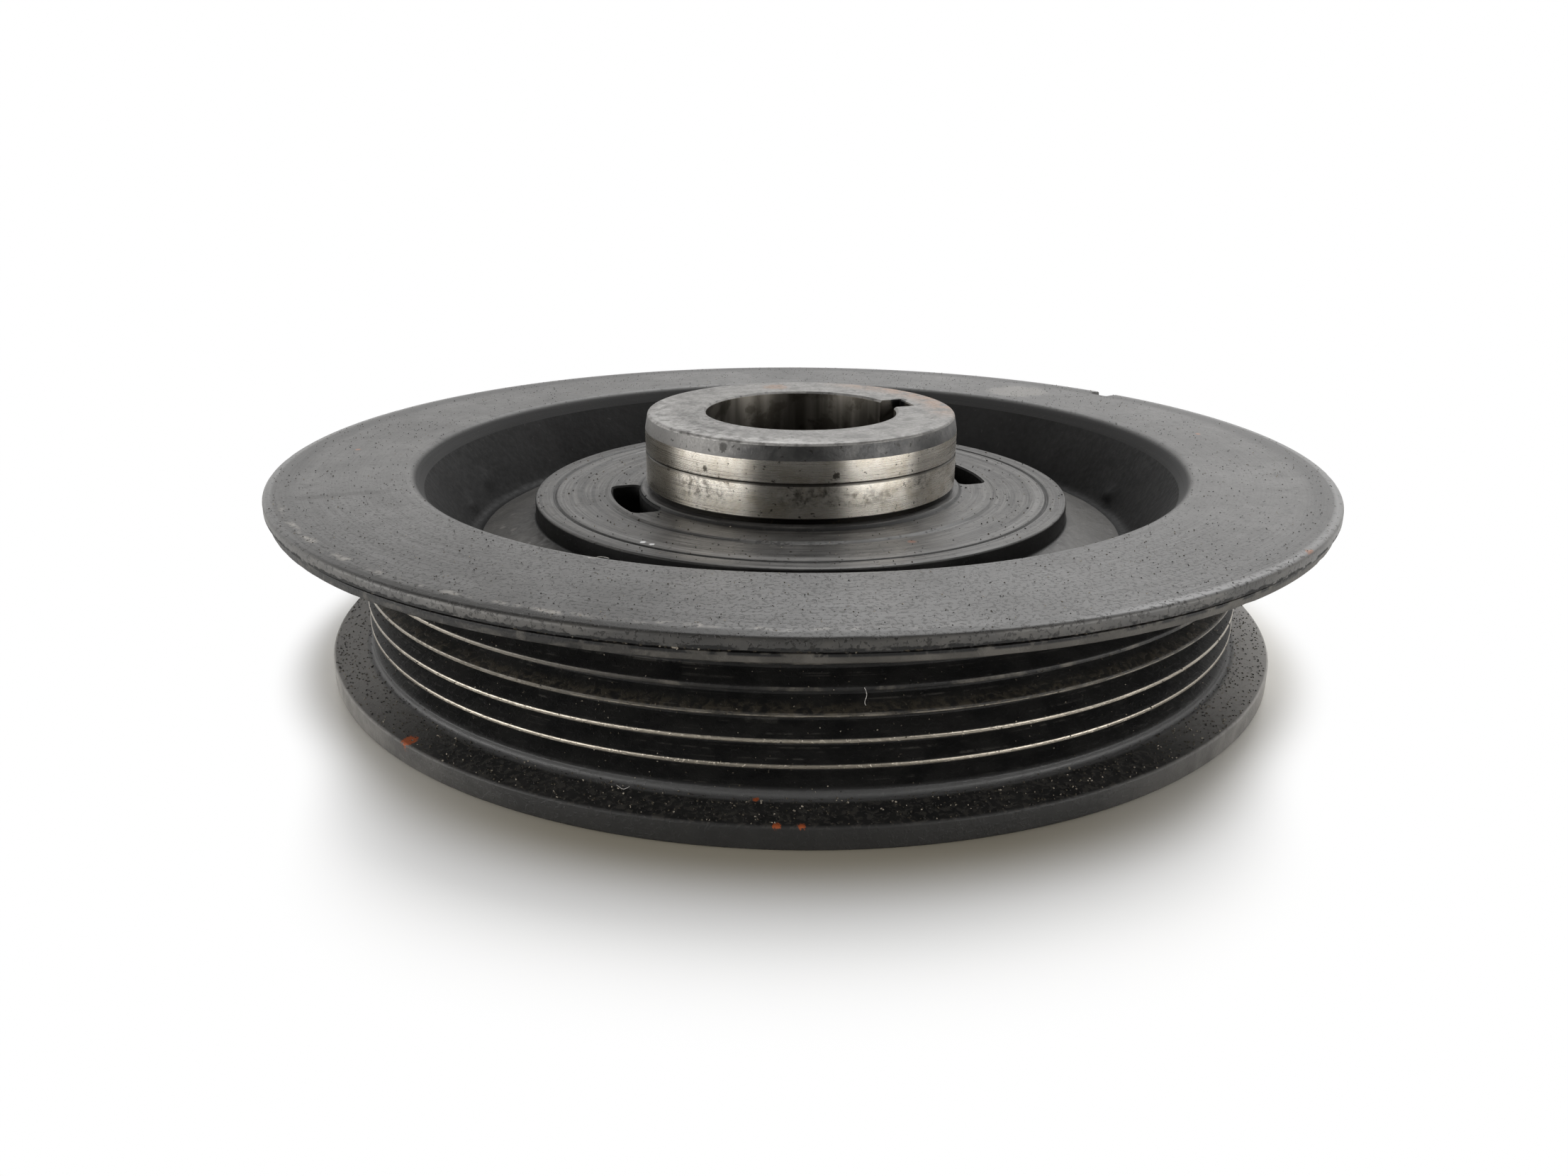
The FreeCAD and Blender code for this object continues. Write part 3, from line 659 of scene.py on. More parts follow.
# %% The polished bore
def make_bore_wall():
    w = Finish("bore_wall")
    stripes = w.noise(w.vector("MULTIPLY", w.place, (1.0, 1.0, 0.06)), 0.35, 3.0, 0.5)
    tone = w.paint(
        w.mix(w.remap(stripes, 0.35, 0.65), grey(0.055, 0.10), grey(0.115, 0.08)),
        (w.patches(5.0, 0.42, 0.06, 5.0), 0.7, grey(0.03, 0.15)),
        # Painted shadow in the keyway's corner.
        (w.spot(117.0, 20.0, 38.2, 1.8, 0.3), 1.0, grey(0.01)),
    )
    return w.end(tone, w.remap(stripes, 0.3, 0.7, 0.28, 0.4), stripes, 0.02, metal=0.85)


HUB_FINISHES = {
    "flange": make_turned_flange(), "cast": make_cast_skin(), "web": make_web_skin(),
    "disc": make_turned_disc(), "ground": make_ground_sleeve(), "lead": make_sleeve_lead(),
    "end": make_sleeve_end(), "bore": make_bore_wall(),
}
print("hub finishes:", [m.name for m in HUB_FINISHES.values()])

# %% [markdown]
# ## The hub
#
# The outline starts at the front mouth of the bore and goes anticlockwise: out along the front
# side, round the flange, down into the dish, over the disc and up the sleeve. Casting skin gets
# points every 1.2 mm, so that it can be slightly uneven, as sand leaves it. The roughness could
# also be left to the material, but a lump that shows against the light has to be a real shape.

# %% The hub's outline, in mm
HUB_CORNERS = [
    # radius, height, rounding, and the finish that starts there
    (16.9, 6.0, 0.1, "disc"),
    (25.0, 6.0, 0.15, "disc"),
    (25.8, 6.8, 0.15, "cast"),
    (25.8, 12.41, 2.0, "cast"),
    (59.7, 10.9, 2.0, "cast"),
    (59.7, 3.4, 0.3, "cast"),
    (60.5, 2.6, 0.3, "cast"),
    (65.2, 2.6, 0.15, "cast"),
    (65.2, 28.4, 0.0, "cast"),
    (FLANGE_RADIUS, SEAM_HEIGHT, 0.12, "flange"),
    (FLANGE_RADIUS, FLANGE_FACE - 0.1, 0.6, "flange"),
    (85.4, FLANGE_FACE, 3.0, "flange"),
    (65.5, FLANGE_FACE, 2.4, "flange"),
    (64.0, 28.88, 0.0, "cast"),
    (57.25, 18.0, 1.8, "cast"),
    (55.6, 18.54, 0.0, "web"),
    (DISC_RADIUS, 21.6, 0.5, "disc"),
    (DISC_RADIUS, DISC_HEIGHT, 0.35, "disc"),
    (43.25, DISC_HEIGHT, 0.1, "disc"),
    (42.9, DISC_HEIGHT - 0.35, 0.1, "disc"),
    (42.55, DISC_HEIGHT, 0.1, "disc"),
    (40.3, DISC_HEIGHT, 0.1, "disc"),
    (39.9, DISC_HEIGHT - 0.12, 0.1, "disc"),
    (34.3, DISC_HEIGHT - 0.12, 0.1, "disc"),
    (33.8, 25.1, 0.15, "disc"),
    (28.3, 25.1, 0.1, "disc"),
    (27.8, 25.6, 0.25, "disc"),
    (26.3, 25.6, 0.2, "ground"),
    (26.3, 26.25, 0.2, "ground"),
    (SEAL_RADIUS, 26.6, 0.15, "ground"),
    (SEAL_RADIUS, 31.85, 0.15, "ground"),
    (SEAL_RADIUS - 0.12, 32.1, 0.1, "ground"),
    (SEAL_RADIUS, 32.35, 0.15, "ground"),
    (SEAL_RADIUS, 35.9, 0.4, "lead"),
    (26.5, SLEEVE_TOP, 0.55, "end"),
    (16.9, SLEEVE_TOP, 0.2, "end"),
    (BORE_RADIUS, 38.2, 0.1, "bore"),
    (BORE_RADIUS, 6.45, 0.1, "disc"),
]
hub_outline, hub_finishes = rounded_outline(HUB_CORNERS, {"cast": 1.2, "web": 1.2})
print("hub outline:", len(HUB_CORNERS), "corners,", len(hub_outline), "points")

# %% Unevenness of the casting, and nicks in the flange edge
CAST_LUMPS = [
    # angle, radius, height, reach in mm, rise in mm
    (-101.0, 59.5, 23.0, 1.6, 0.8),
    (-96.0, 60.2, 25.5, 1.2, 0.6),
    (-90.5, 58.8, 20.5, 1.5, 0.7),
    (-122.0, 61.3, 28.0, 1.8, 0.6),
    (101.0, 58.9, 20.0, 1.8, 0.9),
    (122.0, 60.4, 25.0, 1.3, 0.5),
]


DISH_INNER, DISH_OUTER, DISH_LOW, DISH_HIGH = 46.5, 66.0, 10.5, 29.8


def uneven_hub(angle, radius, height):
    """Sand leaves the dish wavy and lumpy, and handling leaves small nicks in the flange edge."""
    out_radius, out_height = radius.copy(), height.copy()
    cast = (radius > DISH_INNER) & (radius < DISH_OUTER) & (height > DISH_LOW) & (height < DISH_HIGH)
    rim = (radius > FLANGE_RADIUS - 0.8) & (height > SEAM_HEIGHT + 0.15)
    lumps = [(seen_at(a, r, h), reach, rise) for a, r, h, reach, rise in CAST_LUMPS]
    for i, j in zip(*np.nonzero(cast)):
        a, r, h = angle[i, j], radius[i, j], height[i, j]
        place = Vector((r * math.cos(a), r * math.sin(a), h))
        rise = 0.14 * noise.noise(place * 0.12) + 0.05 * noise.noise(place * 0.5)
        for centre, reach, lump_rise in lumps:
            rise += lump_rise * math.exp(-((place - centre).length / reach) ** 2)
        fade = min(1.0, (DISH_HIGH - h) / 2.0, (r - DISH_INNER) / 1.5)
        on_wall = h > 19.5
        out_radius[i, j] -= rise * fade * (1.0 if on_wall else 0.2)
        out_height[i, j] += rise * fade * (0.3 if on_wall else 1.0)
    for i, j in zip(*np.nonzero(rim)):
        a = angle[i, j]
        shake = noise.noise(Vector((math.cos(a), math.sin(a), 0.2 * height[i, j])) * 45.0)
        out_radius[i, j] -= 0.22 * max(0.0, shake - 0.25)
    return out_radius, out_height


hub = lathe("hub_casting", hub_outline, hub_finishes, HUB_FINISHES, 360, uneven_hub)
print("hub blank:", count_triangles(hub), "triangles")

# %% [markdown]
# ## Slots, keyway and timing notch
#
# These four cuts are not turned, so they are cut out of the finished ring as on the real part.
# Each cutter is a prism through equal loops of points. The slot's cutter widens at its mouth,
# which leaves the slot with a softly broken edge.

# %% Cutters
def prism(name, finish, loops):
    """A closed prism through loops of the same number of points: (points in mm, height)."""
    count = len(loops[0][0])
    vertices = [(x * MM, y * MM, height * MM) for points, height in loops for x, y in points]
    faces = [list(range(count))[::-1], [len(vertices) - count + i for i in range(count)]]
    for level in range(len(loops) - 1):
        low, high = level * count, (level + 1) * count
        faces += [(low + i, low + (i + 1) % count, high + (i + 1) % count, high + i) for i in range(count)]
    mesh = bpy.data.meshes.new(name)
    mesh.from_pydata(vertices, [], faces)
    for key in HUB_FINISHES:
        mesh.materials.append(HUB_FINISHES[key])
    mesh.polygons.foreach_set("material_index", [list(HUB_FINISHES).index(finish)] * len(faces))
    point_outwards(mesh)
    cutter = bpy.data.objects.new(name, mesh)
    bpy.context.collection.objects.link(cutter)
    return cutter


def turned_points(points, degrees):
    c, s = math.cos(math.radians(degrees)), math.sin(math.radians(degrees))
    return [(c * x - s * y, s * x + c * y) for x, y in points]


def slot_loop(grow, degrees):
    """An arc-shaped slot with parallel ends and rounded corners, larger by grow all round."""
    inner, outer, half, rounding = 28.4 - grow, 33.0 + grow, 8.8 + grow, 1.3 + grow
    corner_out, corner_in = math.sqrt(outer**2 - half**2), math.sqrt(inner**2 - half**2)
    sides = np.linspace(-5.6, 5.6, 9)
    corners = [(corner_in, -half, rounding, ""), (corner_out, -half, rounding, "")]
    corners += [(math.sqrt(outer**2 - y**2), y, 0.0, "") for y in sides]
    corners += [(corner_out, half, rounding, ""), (corner_in, half, rounding, "")]
    corners += [(math.sqrt(inner**2 - y**2), y, 0.0, "") for y in sides[::-1]]
    points, _ = rounded_outline(corners, steps=5)
    return turned_points(points, degrees)


def keyway_loop(grow):
    floor, half = 20.1 + grow, 3.0 + grow
    corners = [(10.0, -half, 0.0, ""), (floor, -half, 0.3, ""), (floor, half, 0.3, ""), (10.0, half, 0.0, "")]
    return [tuple(p) for p in rounded_outline(corners, steps=3)[0]]


def notch_loop():
    corners = [(84.0, -2.4, 0.5, ""), (95.0, -2.4, 0.0, ""), (95.0, 2.4, 0.0, ""), (84.0, 2.4, 1.6, "")]
    return turned_points(rounded_outline(corners, steps=5)[0], 20.8)


SLOT_LEVELS = [(0.0, 5.0), (0.0, 24.8), (0.3, 25.12), (0.3, 25.3)]  # how much wider, and at which height
KEYWAY_LEVELS = [(0.0, 5.0), (0.0, 38.4), (0.25, 38.7)]
cutters = [prism("slot_cutter", "cast", [(slot_loop(grow, turn), height) for grow, height in SLOT_LEVELS])
           for turn in (0.0, 180.0)]
cutters.append(prism("keyway_cutter", "bore",
                     [(keyway_loop(grow), height) for grow, height in KEYWAY_LEVELS]))
cutters.append(prism("notch_cutter", "flange", [(notch_loop(), 27.0), (notch_loop(), 33.0)]))
print("cutters:", [c.name for c in cutters])


# %% Cut them out
def as_mesh(piece):
    """Replaces a piece's mesh by what its modifiers make, and drops the modifiers."""
    depsgraph = bpy.context.evaluated_depsgraph_get()
    made = bpy.data.meshes.new_from_object(piece.evaluated_get(depsgraph), depsgraph=depsgraph)
    piece.modifiers.clear()
    piece.data = made


def cut_out(piece, tools):
    for tool in tools:
        boolean = piece.modifiers.new(tool.name, "BOOLEAN")
        boolean.object = tool
        boolean.operation = "DIFFERENCE"
        boolean.solver = "EXACT"
    as_mesh(piece)
    for tool in tools:
        bpy.data.objects.remove(tool)


cut_out(hub, cutters)
smooth(hub)
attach(hub, "root")
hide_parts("hub")
print("hub:", count_triangles(hub), "triangles after the cuts")

# %% [markdown]
# ## The finish of the belt ring
#
# The belt keeps the rib crests bright and leaves the grooves black with rubber dust. The two
# lower crests shine all round, the third carries a film of brown mud, and the upper ones are
# painted bright only towards the left, as a painted highlight. The front flange is dusty in front,
# and its sides are painted lighter as a painted sheen, more at the right. Its edge is painted light
# at the left and right as a painted reflection. The back flange is painted black in patches at the
# seam, partly dirt and partly painted shade in the gap.

# %% Sizes of the belt ring, in mm
GROOVE_PITCH, GROOVE_COUNT, FIRST_GROOVE = 3.56, 6, 4.66
CREST_RADIUS, FRONT_FLANGE_RADIUS, BACK_FLANGE_RADIUS = 74.4, 80.7, 87.4
THIRD_CREST = FIRST_GROOVE + 3 * GROOVE_PITCH
print("groove crests at:", [round(FIRST_GROOVE + k * GROOVE_PITCH, 2) for k in range(1, GROOVE_COUNT)])


# %% Bright crests over black grooves, with a painted highlight at the left
def groove_polish_and_highlight(w, lines):
    belt = w.window(w.height, 15.3, 8.2, 0.4)
    crests = w.times(w.remap(w.radius, CREST_RADIUS - 0.13, CREST_RADIUS - 0.03), belt)
    third = w.times(w.window(w.height, 15.3, 0.07, 0.06), w.patches(4.0, 0.6, 0.1))
    lower_two = w.remap(w.height, THIRD_CREST - 1.34, THIRD_CREST - 2.34)
    # The upper crests are painted bright only at the left: a painted highlight.
    highlight_to_the_left = w.window(w.angle, -65.0, 30.0, 30.0)
    rubbed_and_highlit = w.most(lower_two, w.times(third, 0.7), highlight_to_the_left, w.times(w.patches(6.0, 0.35, 0.1), 0.25))
    return w.times(crests, rubbed_and_highlit, w.remap(lines, 0.25, 0.5, 0.5, 1.0))


def groove_dust(w, lines):
    flanks = w.times(w.window(w.height, 15.3, 11.0, 0.2),
                     w.remap(w.radius, CREST_RADIUS - 0.1, CREST_RADIUS - 0.4))
    return w.times(flanks, w.remap(lines, 0.55, 0.7), w.patches(2.5, 0.4, 0.05))


# %% Dirt and painted shade on the back flange, dust, rust and painted sheen on the front flange
def back_flange_dirt_and_shade(w, tone, grime):
    lip = w.times(w.remap(w.radius, 86.6, 87.1), w.remap(w.height, 27.0, 27.4))
    caked = w.times(lip, w.window(w.angle, -38.0, 30.0, 14.0), w.patches(2.5, 0.6, 0.1, 6.0))
    # Black patches at the seam: partly caked dirt, partly painted shade in the gap under the rubber.
    seam = w.times(w.remap(w.radius, 86.2, 86.6), w.remap(w.height, 28.5, 28.8),
                   w.patches(2.4, 0.6, 0.06, 5.0))
    return w.paint(
        tone,
        (lip, 1.0, w.mix(grime, grey(0.046, 0.08), grey(0.075, 0.08))),
        (caked, 0.85, grey(0.007)),
        (seam, 1.0, grey(0.004)),
    )


def front_flange_dust_and_sheen(w, tone, front_face, powder):
    from_front = w.math("ABSOLUTE", w.angle)
    land = w.window(w.math("ADD", w.radius, w.height), CREST_RADIUS + 4.3, 0.6, 0.3)
    # The sides of the front flange are painted lighter, more at the right: painted sheen.
    side_sheen = w.times(front_face, w.remap(from_front, 35.0, 65.0))
    side_sheen_tone = w.mix(w.remap(w.angle, -20.0, 20.0), grey(0.23, 0.03), grey(0.34, 0.03))
    dusty = w.times(front_face, powder, w.math("SUBTRACT", 1.0, side_sheen))
    return w.paint(
        tone,
        (w.times(land, w.window(w.height, 4.3, 0.7, 0.2)), 1.0, grey(0.07)),
        (side_sheen, 0.85, side_sheen_tone),
        (dusty, 0.5, grey(0.055, 0.08)),
    )


def front_flange_edge(w, tone, grime):
    edge = w.times(w.remap(w.radius, 80.2, 80.6), w.remap(w.radius, 81.5, 81.2))
    # The edge is painted light at the left and right: a painted reflection.
    sides = w.window(w.math("ABSOLUTE", w.angle), 72.0, 14.0, 35.0)
    edge_sheen_tone = w.mix(sides, grey(0.024, 0.02), grey(0.42, 0.04))
    return w.mix(edge, tone, w.paint(edge_sheen_tone, (grime, 0.4, grey(0.015))))


# %% The iron of the belt ring
RUST_SPOTS = [
    # angle, radius, height, size, raggedness
    (-42.7, 79.7, 3.5, 1.2, 0.6),
    (-1.8, 80.4, 3.4, 0.5, 0.7),
    (0.4, 80.4, 3.4, 0.45, 0.7),
    (-4.0, 75.1, 3.9, 0.4, 0.6),
]


def make_ring_iron():
    w = Finish("ring_iron")
    lines = w.rings(w.math("ADD", w.radius, w.height), 0.25, 2.5)
    grime = w.patches(5.0, 0.5, 0.15, 6.0)
    powder = w.patches(0.9, 0.4, 0.06, 5.0)
    polish_and_highlight = groove_polish_and_highlight(w, lines)
    mud = w.times(w.window(w.height, 15.7, 0.5, 0.35), w.patches(0.9, 0.5, 0.12, 6.0))
    front_face = w.times(w.remap(w.radius, 74.9, 75.6), w.window(w.height, 3.7, 0.5, 0.2))
    rust = w.most(*[w.spot(*spot) for spot in RUST_SPOTS])
    tone = w.paint(
        w.mix(grime, grey(0.007), grey(0.015, 0.03)),
        (polish_and_highlight, 1.0, grey(0.34, 0.10)),
        (groove_dust(w, lines), 0.35, grey(0.12, 0.06)),
        (mud, 0.55, grey(0.06, 0.18)),
    )
    tone = back_flange_dirt_and_shade(w, front_flange_edge(w, tone, grime), grime)
    tone = w.mix(rust, front_flange_dust_and_sheen(w, tone, front_face, powder), (0.30, 0.07, 0.02, 1.0))
    rough = w.math("ADD", w.remap(polish_and_highlight, 0.0, 1.0, 0.5, 0.3), w.times(w.most(rust, front_face), 0.15))
    height = w.math("MULTIPLY_ADD", lines, 0.4, w.times(powder, 0.5))
    return w.end(tone, rough, height, 0.05, metal=w.remap(polish_and_highlight, 0.0, 1.0, 0.1, 0.9), specular=0.3)


RING_IRON = make_ring_iron()

# %% [markdown]
# ## The belt ring
#
# The ring's ribs follow a rule: the same groove again and again, one pitch apart. So the ring is
# first turned without grooves, with many rows of points where the belt runs, and a Geometry Nodes
# tree then sinks those rows by the rule. Its inputs are the sizes that a belt maker would name.

# %% The ring blank, with close rows where the belt runs
GROOVES_END = FIRST_GROOVE + GROOVE_PITCH * GROOVE_COUNT
RING_CORNERS = [
    (69.0, 0.0, 0.2, "ring"),
    (FRONT_FLANGE_RADIUS, 0.0, 0.4, "ring"),
    (FRONT_FLANGE_RADIUS, 3.4, 0.45, "ring"),
    (CREST_RADIUS, 3.95, 0.6, "ring"),
    (CREST_RADIUS, FIRST_GROOVE, 0.0, "rows"),
    (CREST_RADIUS, GROOVES_END, 0.0, "ring"),
    (CREST_RADIUS, 26.32, 0.25, "ring"),
    (BACK_FLANGE_RADIUS, 27.85, 0.25, "ring"),
    (BACK_FLANGE_RADIUS, 29.07, 0.12, "ring"),
    (69.0, 28.14, 0.0, "ring"),
    (67.8, 26.94, 0.0, "ring"),
    (67.8, 1.2, 0.2, "ring"),
]
RING_TURNS = 300


def uneven_lip(angle, radius, height):
    """The thin back flange is slightly nicked along its edge."""
    out = radius.copy()
    for i, j in zip(*np.nonzero((radius > BACK_FLANGE_RADIUS - 0.4) & (height < 28.8))):
        a = angle[i, j]
        shake = noise.noise(Vector((math.cos(a), math.sin(a), 0.1 * height[i, j])) * 38.0)
        out[i, j] -= 0.3 * max(0.0, shake - 0.2)
    return out, height


ring_outline = rounded_outline(RING_CORNERS, {"rows": 0.115})[0]
belt_ring = lathe("belt_ring_turned", ring_outline, ["ring"] * len(ring_outline), {"ring": RING_IRON},
                  RING_TURNS, uneven_lip)
print("belt ring blank:", count_triangles(belt_ring), "triangles")


# %% A Geometry Nodes tree with named inputs
def make_tree(name, floats, **others):
    """A tree that takes a mesh, named numbers and a finish, and gives a mesh that carries the finish."""
    tree = bpy.data.node_groups.new(name, "GeometryNodeTree")
    inputs = [("Geometry", "Geometry", None), *[(key, "Float", value) for key, value in floats.items()],
              *[(key, "Int", value) for key, value in others.items()], ("Finish", "Material", None)]
    for key, kind, value in inputs:
        socket = tree.interface.new_socket(key, in_out="INPUT", socket_type=f"NodeSocket{kind}")
        if value is not None:
            socket.default_value = value
    tree.interface.new_socket("Geometry", in_out="OUTPUT", socket_type="NodeSocketGeometry")
    w = Wires(tree)
    start, end = tree.nodes.new("NodeGroupInput").outputs, tree.nodes.new("NodeGroupOutput").inputs
    return w, start, end


def end_tree(w, start, end, geometry):
    """Makes real geometry of a tree's result and gives it the finish."""
    real = w.node("GeometryNodeRealizeInstances", {0: geometry}).outputs[0]
    painted = w.node("GeometryNodeSetMaterial", {"Geometry": real, "Material": start["Finish"]}).outputs[0]
    w.tree.links.new(painted, end["Geometry"])
    return w.tree


def use_tree(piece, tree, **inputs):
    """Runs a Geometry Nodes tree on a piece with named inputs, and keeps the result as its mesh."""
    modifier = piece.modifiers.new(tree.name, "NODES")
    modifier.node_group = tree
    named = {item.name: item.identifier for item in tree.interface.items_tree if item.in_out == "INPUT"}
    for name, value in inputs.items():
        modifier[named[name.replace("_", " ")]] = value
    as_mesh(piece)


# %% The rule that sinks the grooves
def make_groove_rule():
    """Sinks every point on the crest by the depth of the belt groove that it lies in."""
    w, start, end = make_tree("belt_grooves", {
        "First Groove": FIRST_GROOVE, "Pitch": GROOVE_PITCH, "Grooves": float(GROOVE_COUNT), "Depth": 3.2,
        "Root Width": 0.66, "Flank Slope": math.tan(math.radians(20.0)), "Crest Radius": CREST_RADIUS,
    })
    _, radius, height, flat = measure(w, w.node("GeometryNodeInputPosition").outputs[0])
    turns = w.math("DIVIDE", w.math("SUBTRACT", height, start["First Groove"]), start["Pitch"])
    off_crest = w.math("ABSOLUTE", w.math("SUBTRACT", radius, start["Crest Radius"]))
    inside = w.times(w.math("GREATER_THAN", turns, 0.0), w.math("LESS_THAN", turns, start["Grooves"]),
                     w.math("LESS_THAN", off_crest, 0.01))
    off_middle = w.math("ABSOLUTE", w.math("SUBTRACT", w.math("FRACT", turns), 0.5))
    away = w.math("SUBTRACT", w.math("MULTIPLY", off_middle, start["Pitch"]),
                  w.math("DIVIDE", start["Root Width"], 2.0))
    risen = w.math("DIVIDE", away, start["Flank Slope"])
    below_crest = w.math("SMOOTH_MAX", w.math("SUBTRACT", start["Depth"], w.math("MAXIMUM", risen, 0.0)),
                         0.0, 0.35)
    offset = w.vector("SCALE", w.vector("NORMALIZE", flat), by=w.times(below_crest, inside, -MM))
    moved = w.node("GeometryNodeSetPosition", {"Geometry": start["Geometry"], "Offset": offset}).outputs[0]
    return end_tree(w, start, end, moved)


use_tree(belt_ring, make_groove_rule(), Finish=RING_IRON)
smooth(belt_ring, 50)
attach(belt_ring, "root")
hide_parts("belt_ring")
print("belt ring:", count_triangles(belt_ring), "triangles")

# %% [markdown]
# ## The rubber
#
# The rubber is squeezed between hub and ring. Its edge shows at the rim as a thin black line that
# is deeper in some places than in others, so the edge of the skirt wanders in and out.

# %% The rubber ring
def make_damper_rubber():
    w = Finish("damper_rubber")
    grains = w.noise(w.place, 3.0, 4.0, 0.6)
    tone = w.mix(w.patches(3.0, 0.4, 0.1), grey(0.010), grey(0.022, 0.05))
    return w.end(tone, w.remap(grains, 0.3, 0.7, 0.6, 0.8), grains, 0.08)


SKIRT_RADIUS = 86.95
RUBBER_CORNERS = [
    (65.2, 2.6, 0.0, "rubber"),
    (67.8, 2.6, 0.0, "rubber"),
    (67.8, 26.94, 0.0, "rubber"),
    (69.0, 28.14, 0.0, "rubber"),
    (SKIRT_RADIUS, 29.04, 0.08, "rubber"),
    (SKIRT_RADIUS, 29.50, 0.08, "rubber"),
    (65.2, 28.4, 0.0, "rubber"),
]


def uneven_skirt(angle, radius, height):
    """The skirt's edge wanders slowly, with small quick tears."""
    out = radius.copy()
    for i, j in zip(*np.nonzero(radius > SKIRT_RADIUS - 0.95)):
        a = angle[i, j]
        around = Vector((math.cos(a), math.sin(a), 0.0))
        out[i, j] += 0.4 * noise.noise(around * 7.0) + 0.3 * noise.noise(around * 45.0)
    return np.minimum(out, BACK_FLANGE_RADIUS), height


rubber_outline, rubber_finishes = rounded_outline(RUBBER_CORNERS)
rubber = lathe("rubber_moulded", rubber_outline, rubber_finishes, {"rubber": make_damper_rubber()}, 360,
               uneven_skirt)
smooth(rubber)
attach(rubber, "root")
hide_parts("rubber_ring")
print("rubber:", count_triangles(rubber), "triangles")

# %% [markdown]
# ## Grit and fibres
#
# A part that comes off an engine carries dust, crumbs of rubber and a few fibres. Grains lie on
# whatever looks up, and they gather in the seam over the rubber. One Geometry Nodes tree scatters
# them over a copy of a piece, between two radii and two heights.

# %% The colours of grit and fibres
def make_grit():
    w = Finish("grit")
    sort = w.noise(w.place, 0.9, 1.0, 0.5)
    tone = w.mix(w.remap(sort, 0.44, 0.5), grey(0.008, 0.1), grey(0.03, 0.25))
    return w.end(w.mix(w.remap(sort, 0.60, 0.63), tone, grey(0.22, 0.12)), 0.8)


def make_fibre():
    w = Finish("fibre")
    return w.end(w.mix(w.noise(w.place, 2.0), grey(0.35, 0.05), grey(0.55, 0.03)), 0.7)


GRIT, FIBRE = make_grit(), make_fibre()


# %% A Geometry Nodes tree that scatters grains
def make_scatter():
    """Scatters grains on the faces of a piece that lie in a zone and look up enough."""
    w, start, end = make_tree("scattered_grains", {
        "Inner Radius": 0.0, "Outer Radius": 100.0, "Low": 0.0, "High": 50.0, "Look Up": 0.5,
        "Per Square mm": 0.5, "Clumping": 0.5, "Grain Size": 0.25,
    }, Seed=1)
    place, radius, height, _ = measure(w, w.node("GeometryNodeInputPosition").outputs[0])
    look = w.node("ShaderNodeSeparateXYZ", {0: w.node("GeometryNodeInputNormal").outputs[0]}).outputs[2]
    inside = w.times(w.math("GREATER_THAN", radius, start["Inner Radius"]),
                     w.math("LESS_THAN", radius, start["Outer Radius"]),
                     w.math("GREATER_THAN", height, start["Low"]), w.math("LESS_THAN", height, start["High"]),
                     w.math("GREATER_THAN", look, start["Look Up"]))
    clump = w.math("SUBTRACT", w.noise(place, 0.12, 3.0, 0.6), 0.42)
    gathered = w.math("MULTIPLY", clump, w.math("MULTIPLY", start["Clumping"], 10.0), clamp=True)
    even = w.math("SUBTRACT", 1.0, start["Clumping"], clamp=True)
    share = w.math("ADD", gathered, even, clamp=True)
    density = w.math("MULTIPLY", w.times(share, start["Per Square mm"]), 1.0 / MM**2)
    zone = w.node("GeometryNodeSeparateGeometry", {"Geometry": start["Geometry"], "Selection": inside},
                  domain="FACE").outputs[0]
    points = w.node("GeometryNodeDistributePointsOnFaces",
                    {"Mesh": zone, "Density": density, "Seed": start["Seed"]}).outputs[0]
    grain = w.node("GeometryNodeMeshIcoSphere", {"Radius": MM, "Subdivisions": 1}).outputs[0]

    def drawn(low, high):
        values = {0: low, 1: high, "Seed": start["Seed"]}
        return w.node("FunctionNodeRandomValue", values, data_type="FLOAT_VECTOR").outputs[0]

    size = w.vector("SCALE", drawn((0.4, 0.4, 0.3), (1.4, 1.1, 0.9)), by=start["Grain Size"])
    turn = drawn((0.0, 0.0, 0.0), (6.28, 6.28, 6.28))
    grains = w.node("GeometryNodeInstanceOnPoints",
                    {"Points": points, "Instance": grain, "Rotation": turn, "Scale": size}).outputs[0]
    return end_tree(w, start, end, grains)


# %% Scatter them over five zones
SCATTER = make_scatter()
ZONE_INPUTS = ("Inner Radius", "Outer Radius", "Low", "High", "Look Up", "Per Square mm", "Clumping",
               "Grain Size", "Seed")
GRIT_ZONES = [
    # name, source, slot, and then the inputs in their order
    ("grit_on_front_flange", belt_ring, "ring_iron", 74.6, 80.3, 3.2, 4.6, 0.5, 1.3, 0.4, 0.17, 3),
    ("grit_on_ribs", belt_ring, "ring_iron", 71.0, 74.6, 4.8, 26.0, -0.35, 0.28, 0.8, 0.14, 5),
    ("grit_on_flange", hub, "hub_iron", 65.8, 87.0, 31.0, 31.4, 0.8, 0.30, 0.8, 0.12, 7),
    ("grit_on_disc", hub, "hub_iron", 28.6, 45.8, 24.5, 25.3, 0.8, 0.14, 0.6, 0.18, 11),
    ("grime_in_seam", rubber, "damper_rubber", 86.3, 88.0, 28.9, 29.7, -2.0, 3.0, 0.6, 0.32, 13),
]
for name, source, slot, *zone in GRIT_ZONES:
    piece = bpy.data.objects.new(name, source.data.copy())
    bpy.context.collection.objects.link(piece)
    use_tree(piece, SCATTER, Finish=GRIT, **dict(zip(ZONE_INPUTS, zone)))
    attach(piece, "root")
    print(name, len(piece.data.polygons) // 20, "grains")


